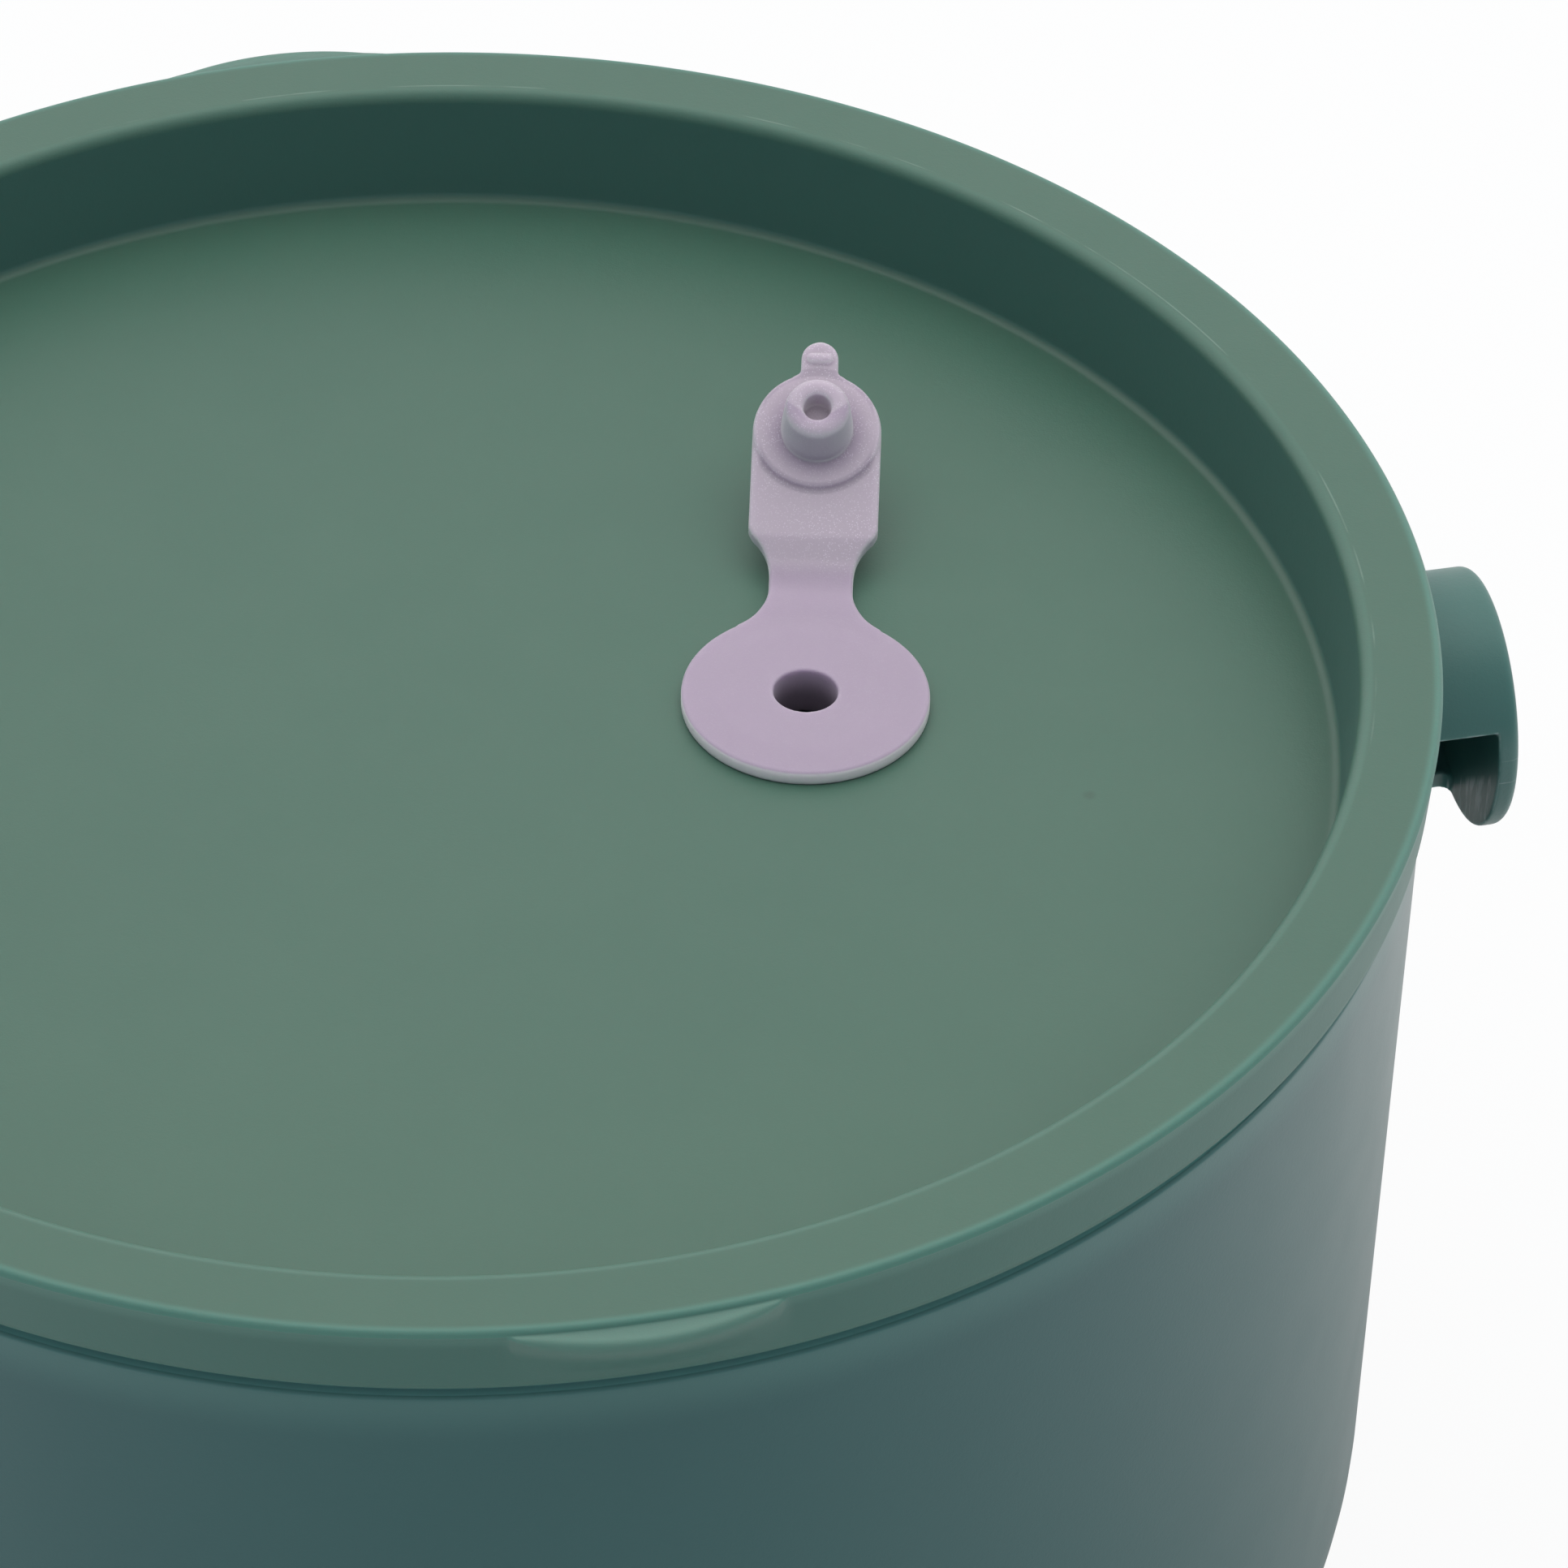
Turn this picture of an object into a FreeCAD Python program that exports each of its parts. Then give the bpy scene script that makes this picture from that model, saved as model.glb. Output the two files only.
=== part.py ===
"""Round moulded tub with a press-on lid and a tethered vent stopper.

All lengths are millimetres and all angles are degrees.  The part stands on
z = 0 with its axis on Z.  The two ears lie on the X axis and the two lift
tabs of the lid lie on the Y axis.
"""
import FreeCAD, Part
import os
import re

import Sketcher

# Driving sizes: name, value, meaning.
SIZES = (
    ("lid_radius", 95.0, "lid, outer radius at the top of the rim"),
    ("overall_height", 124.0, "standing face to rim top"),
    ("rim_width", 7.1, "lid, flat rim from its outer edge to the recess"),
    ("rim_outer_round", 0.8, "lid, rounding of the outer rim edge"),
    ("rim_inner_round", 2.0, "lid, rounding of the inner rim edge"),
    ("recess_depth", 12.8, "lid, rim top to recess floor"),
    ("recess_lean", 1.6, "lid, inward lean of the recess wall"),
    ("recess_floor_round", 1.0, "lid, rounding where wall and floor meet"),
    ("lid_wall", 2.2, "lid, wall thickness"),
    ("lid_foot_round", 2.0, "lid, rounding under the recess"),
    ("skirt_height", 8.0, "lid, rim top to foot of the skirt"),
    ("skirt_lean", 0.4, "lid, inward lean of the skirt"),
    ("skirt_wall", 1.9, "lid, skirt thickness at the rim"),
    ("lift_tab_half_width", 13.0, "lid, half width of a lift tab"),
    ("lift_tab_reach", 2.6, "lid, how far a lift tab stands out"),
    ("lift_tab_step", 0.5, "lid, rim top down to the top of a lift tab"),
    ("lift_tab_height", 7.4, "lid, height over which a lift tab fades out"),
    ("lift_tab_root", 0.4, "lid, gap from the channel to the root of a lift tab"),
    ("lid_clearance", 0.3, "between the skirt and the neck of the tub"),
    ("seam_gap", 0.6, "between the skirt foot and the shoulder"),
    ("shoulder_step", 0.55, "tub, how far its wall lies inside the skirt"),
    ("tub_wall", 2.8, "tub, wall thickness"),
    ("tub_floor", 3.0, "tub, floor thickness"),
    ("tub_draft", 0.5, "tub, taper of the wall in degrees"),
    ("tub_corner", 30.0, "tub, outer rounding between wall and floor"),
    ("tub_shoulder_round", 0.5, "tub, rounding of the shoulder edge"),
    ("tub_lip_round", 0.5, "tub, rounding of the lip"),
    ("seal_height", 1.6, "seal ring, height"),
    ("seal_gap", 0.3, "seal ring, gap to the walls of its channel"),
    ("ear_radius", 13.0, "ear, outer radius"),
    ("ear_wall", 2.2, "ear, thickness of the curved shell"),
    ("ear_disc", 2.2, "ear, thickness of the end disc"),
    ("ear_reach", 10.1, "ear, lid edge to the outer face of the end disc"),
    ("ear_drop", 25.1, "ear, rim top down to the ear axis"),
    ("ear_notch_angle", 23.0, "ear, front edge of the shell above the axis"),
    ("ear_tail_angle", 96.0, "ear, lower edge of the shell below the front"),
    ("ear_edge_round", 0.9, "ear, rounding of the end disc"),
    ("ear_tail_round", 1.2, "ear, rounding between the shell's lower edge and the disc"),
    ("vent_x", 34.9, "vent, position along X"),
    ("vent_y", -2.5, "vent, position along Y"),
    ("strap_azimuth", 75.6, "vent strap, direction from the X axis"),
    ("vent_hole_radius", 3.25, "vent, radius of the open bore"),
    ("vent_lip_round", 0.3, "vent, rounding of the bore edge"),
    ("grommet_radius", 12.1, "vent grommet, radius of the visible disc"),
    ("grommet_thickness", 1.8, "vent grommet, thickness of that disc"),
    ("grommet_round", 0.5, "vent grommet, rounding of that disc"),
    ("collar_radius", 5.4, "vent grommet, radius of the collar in the lid"),
    ("collar_gap", 0.1, "vent grommet, gap between collar and lid"),
    ("flange_radius", 7.4, "vent grommet, radius of the flange below the lid"),
    ("flange_thickness", 1.4, "vent grommet, thickness of that flange"),
    ("waist_half_width", 4.15, "vent strap, half width at the fold"),
    ("fold_distance", 16.2, "vent strap, bore axis to fold line"),
    ("fold_gap", 0.15, "vent strap, gap on each side of the fold line"),
    ("open_angle", 26.0, "stopper, tilt at rest above the lid floor"),
    ("strap_lift", 0.2, "stopper, clearance below it when it lies flat"),
    ("seat_gap", 0.1, "stopper, gap under the grip bar when it is closed"),
    ("web_thickness", 1.3, "stopper, strap top above the lid at the fold, when flat"),
    ("pad_start", 4.7, "stopper, fold line to the thick pad"),
    ("pad_half_width", 6.4, "stopper, half width of the pad"),
    ("pad_corner", 0.8, "stopper, length of the cut corner of the pad"),
    ("pad_thickness", 2.4, "stopper, pad top above the lid when flat"),
    ("disc_radius", 6.3, "stopper, radius of the raised disc"),
    ("disc_rise", 0.4, "stopper, height of the raised disc"),
    ("nose_gap", 0.05, "stopper, gap between the root of the nose and the bore"),
    ("nose_taper", 0.6, "stopper, how much the nose narrows up to its shoulder"),
    ("nose_crown", 1.1, "stopper, rounding of the nose above its shoulder"),
    ("nose_height", 5.7, "stopper, height of the nose"),
    ("nose_bore_radius", 1.3, "stopper, radius of the hole in the nose"),
    ("nose_bore_depth", 3.6, "stopper, depth of the hole in the nose"),
    ("pull_reach", 9.7, "stopper, nose axis to the end of the pull tab"),
    ("pull_half_width", 1.85, "stopper, half width of the pull tab"),
    ("bar_place", 7.8, "stopper, nose axis to the grip bar"),
    ("bar_half_length", 1.25, "stopper, half length of the grip bar"),
    ("bar_half_width", 0.45, "stopper, half width of the grip bar"),
    ("bar_rise", 0.35, "stopper, height of the grip bar"),
)

# Heights and radii worked out from the driving sizes.
SKIRT_FOOT = "(overall_height - skirt_height)"
SHOULDER = "(overall_height - skirt_height - seam_gap)"
LID_FLOOR = "(overall_height - recess_depth)"
LID_ROOF = "(overall_height - lid_wall)"
LIP = f"({LID_ROOF} - seal_height)"
SKIRT_INSIDE = "(lid_radius - skirt_wall)"
NECK = f"({SKIRT_INSIDE} - lid_clearance)"
RECESS_TOP = "(lid_radius - rim_width)"
RECESS_FOOT = f"({RECESS_TOP} - recess_lean)"
TUB_TOP = "(lid_radius - skirt_lean - shoulder_step)"
TUB_FOOT = f"({TUB_TOP} - {SHOULDER} * tan(tub_draft))"
TUB_INSIDE = f"({TUB_TOP} - tub_wall)"
TUB_INSIDE_FOOT = f"({TUB_INSIDE} - ({SHOULDER} - tub_floor) * tan(tub_draft))"
EAR_AXIS = "(overall_height - ear_drop)"
EAR_FACE = "(lid_radius + ear_reach)"
EAR_BACK = f"({EAR_FACE} - ear_disc)"
PLUG_FACE = "(pad_thickness + disc_rise)"
FOLD_HEIGHT = f"((grommet_thickness + {PLUG_FACE} + bar_rise + seat_gap) / 2)"

FUNCTIONS = ("sin", "cos", "tan", "sqrt")
NAME = re.compile(r"[a-z][a-z_]*")


def cells(text):
    """Turn each size name in a formula into its cell of the sheet."""
    def cell(match):
        word = match.group(0)
        return word if word in FUNCTIONS else "Sizes." + word
    return NAME.sub(cell, str(text))


def bind(thing, prop, text):
    """Drive one property of an object by a formula."""
    thing.setExpression(prop, cells(text))


def value(thing, text):
    """Return what a formula comes to now."""
    return float(thing.evalExpression(cells(text)))


def make_sheet(doc):
    """Write the driving sizes, one row each, with an alias per value."""
    sheet = doc.addObject("Spreadsheet::Sheet", "Sizes")
    for row, (name, number, meaning) in enumerate(SIZES, start=1):
        sheet.set(f"A{row}", name)
        sheet.set(f"B{row}", str(number))
        sheet.set(f"C{row}", meaning)
        sheet.setAlias(f"B{row}", name)
    doc.recompute()
    return sheet


def make_body(doc, label):
    """Add an empty body under its own label."""
    body = doc.addObject("PartDesign::Body", label)
    body.Label = label
    return body


def datum(body, role):
    """Return an origin plane or axis of a body by its role."""
    for feature in body.Origin.OriginFeatures:
        if feature.Role == role:
            return feature
    raise ValueError("no origin feature " + role)


def make_sketch(body, name, role, **offsets):
    """Add a sketch on an origin plane, moved by formulas for x, y or z."""
    sketch = body.newObject("Sketcher::SketchObject", name)
    sketch.AttachmentSupport = (datum(body, role), [""])
    sketch.MapMode = "FlatFace"
    for axis, text in offsets.items():
        bind(sketch, "AttachmentOffset.Base." + axis, text)
    return sketch


def pin(sketch, kind, text, *where):
    """Add one driving constraint and tie it to a formula."""
    constraint = Sketcher.Constraint(kind, *where, value(sketch, text))
    index = sketch.addConstraint(constraint)
    bind(sketch, f"Constraints[{index}]", text)


def pin_point(sketch, shape, end, place):
    """Hold one point of a sketch at a pair of formulas."""
    pin(sketch, "DistanceX", place[0], -1, 1, shape, end)
    pin(sketch, "DistanceY", place[1], -1, 1, shape, end)


def draw_circle(sketch, centre, radius):
    """Draw a circle from formulas for its centre and radius."""
    middle = FreeCAD.Vector(value(sketch, centre[0]), value(sketch, centre[1]), 0)
    normal = FreeCAD.Vector(0, 0, 1)
    circle = Part.Circle(middle, normal, value(sketch, radius))
    shape = sketch.addGeometry(circle, False)
    pin_point(sketch, shape, 3, centre)
    pin(sketch, "Radius", radius, shape)


def arc_between(start, end, radius):
    """Return the short arc that turns left from start to end."""
    half = (end - start) * 0.5
    rise = max(radius ** 2 - half.Length ** 2, 0.0) ** 0.5
    left = FreeCAD.Vector(-half.y, half.x, 0).normalize()
    centre = start + half + left * rise
    middle = centre - left * radius
    return Part.Arc(start, middle, end)


def draw_outline(sketch, corners):
    """Close an outline through corners, each a pair of formulas.

    A corner with a third formula starts an arc of that radius to the next
    corner: it turns left, or right where the formula starts with a minus.
    """
    points = [FreeCAD.Vector(value(sketch, c[0]), value(sketch, c[1]), 0) for c in corners]
    count = len(corners)
    ends = []
    for index, corner in enumerate(corners):
        start = points[index]
        end = points[(index + 1) % count]
        if len(corner) == 2:
            shape = sketch.addGeometry(Part.LineSegment(start, end), False)
            ends.append((shape, 1, 2))
            continue
        radius = corner[2].lstrip("-")
        if corner[2].startswith("-"):
            arc = arc_between(end, start, value(sketch, radius))
            shape = sketch.addGeometry(arc, False)
            ends.append((shape, 2, 1))
        else:
            arc = arc_between(start, end, value(sketch, radius))
            shape = sketch.addGeometry(arc, False)
            ends.append((shape, 1, 2))
        pin(sketch, "Radius", radius, shape)
    for index, corner in enumerate(corners):
        shape, first, last = ends[index]
        following = ends[(index + 1) % count]
        sketch.addConstraint(Sketcher.Constraint("Coincident", shape, last, following[0], following[1]))
        pin_point(sketch, shape, first, corner)


def revolve(body, name, sketch, kind="Revolution"):
    """Turn a sketch once round its own vertical axis."""
    feature = body.newObject("PartDesign::" + kind, name)
    feature.Profile = sketch
    feature.ReferenceAxis = (sketch, ["V_Axis"])
    feature.Angle = 360.0
    return feature


def pad(body, name, sketch, length):
    """Raise a sketch by a formula along its normal."""
    feature = body.newObject("PartDesign::Pad", name)
    feature.Profile = sketch
    bind(feature, "Length", length)
    return feature


def pocket(body, name, sketch, length):
    """Sink a sketch against its normal and check that it cuts."""
    before = body.Tip.Shape.Volume
    feature = body.newObject("PartDesign::Pocket", name)
    feature.Profile = sketch
    bind(feature, "Length", length)
    body.Document.recompute()
    if not feature.Shape.Volume < before:
        raise RuntimeError(name + " cuts nothing")
    return feature


def round_edges(body, name, picked, radius, kind="Fillet"):
    """Round the picked edges of the newest feature, given by a test."""
    body.Document.recompute()
    base = body.Tip
    edges = [f"Edge{i}" for i, edge in enumerate(base.Shape.Edges, start=1) if picked(edge)]
    if not edges:
        raise RuntimeError(name + " finds no edge")
    feature = body.newObject("PartDesign::" + kind, name)
    feature.Base = (base, edges)
    bind(feature, "Radius" if kind == "Fillet" else "Size", radius)
    return feature


def same(left, right):
    """Tell whether two lengths agree to a hundredth."""
    return abs(left - right) < 0.01


def ring(body, radius, height):
    """Return a test for the circle of a radius and height about Z."""
    wanted_radius = value(body, radius)
    wanted_height = value(body, height)

    def picked(edge):
        curve = edge.Curve
        if not isinstance(curve, Part.Circle):
            return False
        centred = same(curve.Center.x, 0) and same(curve.Center.y, 0)
        return centred and same(curve.Radius, wanted_radius) and same(curve.Center.z, wanted_height)
    return picked


def make_tub(doc):
    """Tub: drafted wall, round bottom corner, shoulder and neck."""
    body = make_body(doc, "tub")
    profile = make_sketch(body, "TubProfile", "XZ_Plane")
    draw_outline(profile, [
        ("0", "0"),
        (TUB_FOOT, "0"),
        (TUB_TOP, SHOULDER),
        (NECK, SHOULDER),
        (NECK, LIP),
        (TUB_INSIDE, LIP),
        (TUB_INSIDE, SHOULDER),
        (TUB_INSIDE_FOOT, "tub_floor"),
        ("0", "tub_floor"),
    ])
    revolve(body, "TubWall", profile)
    round_edges(body, "TubCorner", ring(body, TUB_FOOT, "0"), "tub_corner")
    inside = ring(body, TUB_INSIDE_FOOT, "tub_floor")
    round_edges(body, "TubInsideCorner", inside, "tub_corner - tub_wall")
    round_edges(body, "TubShoulder", ring(body, TUB_TOP, SHOULDER), "tub_shoulder_round")
    round_edges(body, "TubLip", ring(body, NECK, LIP), "tub_lip_round")
    return body


def make_ear(doc):
    """Right ear: a shell open to the lower front, closed by an end disc."""
    body = make_body(doc, "ear_right")
    centre = ("0", EAR_AXIS)
    drum = make_sketch(body, "EarDrum", "YZ_Plane", z=f"{TUB_TOP} - 2 * tub_wall")
    draw_circle(drum, centre, "ear_radius")
    draw_circle(drum, centre, "ear_radius - ear_wall")
    pad(body, "EarShell", drum, f"{EAR_BACK} - {TUB_TOP} + 2 * tub_wall")
    doc.recompute()
    far = "(2 * ear_radius)"
    opening = make_sketch(body, "EarOpening", "YZ_Plane", z=EAR_BACK)
    draw_outline(opening, [
        centre,
        (f"0 - {far} * cos(ear_notch_angle)", f"{EAR_AXIS} + {far} * sin(ear_notch_angle)"),
        (f"0 - 2 * {far}", EAR_AXIS),
        (f"0 - {far}", f"{EAR_AXIS} - 2 * {far}"),
        (f"0 - {far} * cos(ear_tail_angle)", f"{EAR_AXIS} - {far} * sin(ear_tail_angle)"),
    ])
    pocket(body, "EarGap", opening, f"{EAR_BACK} - {TUB_TOP} + 3 * tub_wall")
    disc = make_sketch(body, "EarDiscCircle", "YZ_Plane", z=EAR_BACK)
    draw_circle(disc, centre, "ear_radius")
    pad(body, "EarDisc", disc, "ear_disc")
    face = value(body, EAR_FACE)

    def outer_edge(edge):
        box = edge.BoundBox
        return same(box.XMin, face) and same(box.XMax, face)
    round_edges(body, "EarEdge", outer_edge, "ear_edge_round")
    inner = value(body, EAR_BACK)
    axis = value(body, EAR_AXIS)

    def tail_corner(edge):
        box = edge.BoundBox
        on_disc = same(box.XMin, inner) and same(box.XMax, inner)
        return on_disc and isinstance(edge.Curve, Part.Line) and box.ZMax < axis
    round_edges(body, "EarTail", tail_corner, "ear_tail_round")
    wall = make_sketch(body, "EarSeat", "XZ_Plane")
    draw_outline(wall, [
        ("0", "0"),
        (TUB_FOOT, "0"),
        (TUB_TOP, SHOULDER),
        ("0", SHOULDER),
    ])
    doc.recompute()
    before = body.Tip.Shape.Volume
    revolve(body, "EarSeatCut", wall, "Groove")
    doc.recompute()
    if not body.Tip.Shape.Volume < before:
        raise RuntimeError("the ear isn't trimmed to the tub")
    return body


def make_left_ear(doc, ear):
    """Left ear: the right ear mirrored across the YZ plane."""
    twin = doc.addObject("Part::Mirroring", "ear_left")
    twin.Label = "ear_left"
    twin.Source = ear
    twin.Base = FreeCAD.Vector(0, 0, 0)
    twin.Normal = FreeCAD.Vector(1, 0, 0)
    return twin


def make_lid(doc):
    """Lid: deep recess, flat rim, skirt, two lift tabs and the vent seat."""
    body = make_body(doc, "lid")
    profile = make_sketch(body, "LidProfile", "XZ_Plane")
    draw_outline(profile, [
        ("0", f"{LID_FLOOR} - lid_wall"),
        (f"{RECESS_FOOT} + lid_wall", f"{LID_FLOOR} - lid_wall"),
        (f"{RECESS_TOP} + lid_wall", LID_ROOF),
        (SKIRT_INSIDE, LID_ROOF),
        (SKIRT_INSIDE, SKIRT_FOOT),
        ("lid_radius - skirt_lean", SKIRT_FOOT),
        ("lid_radius", "overall_height"),
        (RECESS_TOP, "overall_height"),
        (RECESS_FOOT, LID_FLOOR),
        ("0", LID_FLOOR),
    ])
    revolve(body, "LidShell", profile)
    round_edges(body, "RimOutside", ring(body, "lid_radius", "overall_height"), "rim_outer_round")
    round_edges(body, "RimInside", ring(body, RECESS_TOP, "overall_height"), "rim_inner_round")
    round_edges(body, "RecessCorner", ring(body, RECESS_FOOT, LID_FLOOR), "recess_floor_round")
    under = ring(body, f"{RECESS_FOOT} + lid_wall", f"{LID_FLOOR} - lid_wall")
    round_edges(body, "RecessUnderside", under, "lid_foot_round")

    # A lift tab is a crescent that leans back into the skirt on its way down.
    # Its round edge passes through both ends and the tip of the tab.
    chord = "sqrt(lid_radius * lid_radius - lift_tab_half_width * lift_tab_half_width)"
    sagitta = f"(lid_radius + lift_tab_reach - {chord})"
    bend = f"((lift_tab_half_width * lift_tab_half_width + {sagitta} * {sagitta}) / (2 * {sagitta}))"
    crescent = make_sketch(body, "TabCrescent", "XY_Plane", z="overall_height - lift_tab_step")
    root = f"({SKIRT_INSIDE} + lift_tab_root)"
    draw_outline(crescent, [
        ("0 - lift_tab_half_width", root),
        ("lift_tab_half_width", root),
        ("lift_tab_half_width", chord, bend),
        ("0 - lift_tab_half_width", chord),
    ])
    tab = pad(body, "LiftTab", crescent, "lift_tab_height")
    tab.UseCustomVector = True
    tab.AlongSketchNormal = True
    bind(tab, "Direction.x", "0")
    bind(tab, "Direction.y", "0 - (lift_tab_reach + skirt_lean) / lift_tab_height")
    bind(tab, "Direction.z", "0 - 1")
    doc.recompute()
    pair = body.newObject("PartDesign::PolarPattern", "LiftTabs")
    pair.Originals = [tab]
    pair.Axis = (datum(body, "Z_Axis"), [""])
    pair.Angle = 360.0
    pair.Occurrences = 2
    body.Tip = pair
    doc.recompute()

    # The channel over the tub's lip is cut clear of the roots of the tabs.
    channel = make_sketch(body, "ChannelProfile", "XZ_Plane")
    inside = f"{RECESS_TOP} + lid_wall + seal_gap"
    below = f"{SKIRT_FOOT} - lift_tab_height"
    draw_outline(channel, [
        (inside, below),
        (SKIRT_INSIDE, below),
        (SKIRT_INSIDE, LID_ROOF),
        (inside, LID_ROOF),
    ])
    before = body.Tip.Shape.Volume
    groove = revolve(body, "Channel", channel, "Groove")
    doc.recompute()
    if not groove.Shape.Volume < before:
        raise RuntimeError("the channel isn't cut")

    seat = make_sketch(body, "VentSeat", "XY_Plane", z=LID_FLOOR)
    draw_circle(seat, ("vent_x", "vent_y"), "collar_radius + collar_gap")
    pocket(body, "VentHole", seat, "lid_wall + recess_floor_round")
    return body


def make_seal(doc):
    """Seal ring: lies in the roof of the lid's channel, on the tub's lip."""
    body = make_body(doc, "seal_ring")
    profile = make_sketch(body, "SealProfile", "XZ_Plane")
    inside = f"{RECESS_TOP} + lid_wall + seal_gap"
    outside = f"{SKIRT_INSIDE} - seal_gap"
    draw_outline(profile, [
        (inside, LIP),
        (outside, LIP),
        (outside, LID_ROOF),
        (inside, LID_ROOF),
    ])
    revolve(body, "SealTurn", profile)
    return body


def make_grommet(doc):
    """Vent grommet: disc, collar, flange, bore and the near half of the strap."""
    body = make_body(doc, "vent_grommet")
    bind(body, "Placement.Base.x", "vent_x")
    bind(body, "Placement.Base.y", "vent_y")
    bind(body, "Placement.Base.z", LID_FLOOR)
    bind(body, "Placement.Rotation.Angle", "strap_azimuth")
    under_lid = "0 - lid_wall"
    bottom = "0 - lid_wall - flange_thickness"
    profile = make_sketch(body, "GrommetProfile", "XZ_Plane")
    draw_outline(profile, [
        ("vent_hole_radius", bottom),
        ("flange_radius", bottom),
        ("flange_radius", under_lid),
        ("collar_radius", under_lid),
        ("collar_radius", "0"),
        ("grommet_radius", "0"),
        ("grommet_radius", "grommet_thickness"),
        ("vent_hole_radius", "grommet_thickness"),
    ])
    revolve(body, "GrommetTurn", profile)
    strap = make_sketch(body, "StrapNear", "XY_Plane")
    near = "(collar_radius + grommet_radius) / 2"
    draw_outline(strap, [
        (near, "0 - waist_half_width"),
        ("fold_distance - fold_gap", "0 - waist_half_width"),
        ("fold_distance - fold_gap", "waist_half_width"),
        (near, "waist_half_width"),
    ])
    pad(body, "StrapNearPad", strap, "grommet_thickness")
    radius = value(body, "grommet_radius")
    half_width = value(body, "waist_half_width")

    def inner_corner(edge):
        box = edge.BoundBox
        upright = same(box.XLength, 0) and same(box.YLength, 0)
        off_axis = (box.XMin ** 2 + box.YMin ** 2) ** 0.5
        return upright and same(off_axis, radius) and same(abs(box.YMin), half_width)

    # The waist arc touches the disc and runs out just before the fold line.
    reach = "(fold_distance - 4 * fold_gap)"
    waist = f"({reach} * {reach} + waist_half_width * waist_half_width"
    waist += " - grommet_radius * grommet_radius) / (2 * (grommet_radius - waist_half_width))"
    round_edges(body, "StrapWaist", inner_corner, waist)
    round_edges(body, "VentLip", ring(body, "vent_hole_radius", "grommet_thickness"), "vent_lip_round")
    top = value(body, "grommet_thickness")
    bore = value(body, "vent_hole_radius + vent_lip_round")
    fold = value(body, "fold_distance - fold_gap")

    def top_outline(edge):
        box = edge.BoundBox
        level = same(box.ZMin, top) and same(box.ZMax, top)
        return level and box.XMax > bore + top and not same(box.XMin, fold)
    round_edges(body, "GrommetEdge", top_outline, "grommet_round")
    return body


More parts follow.
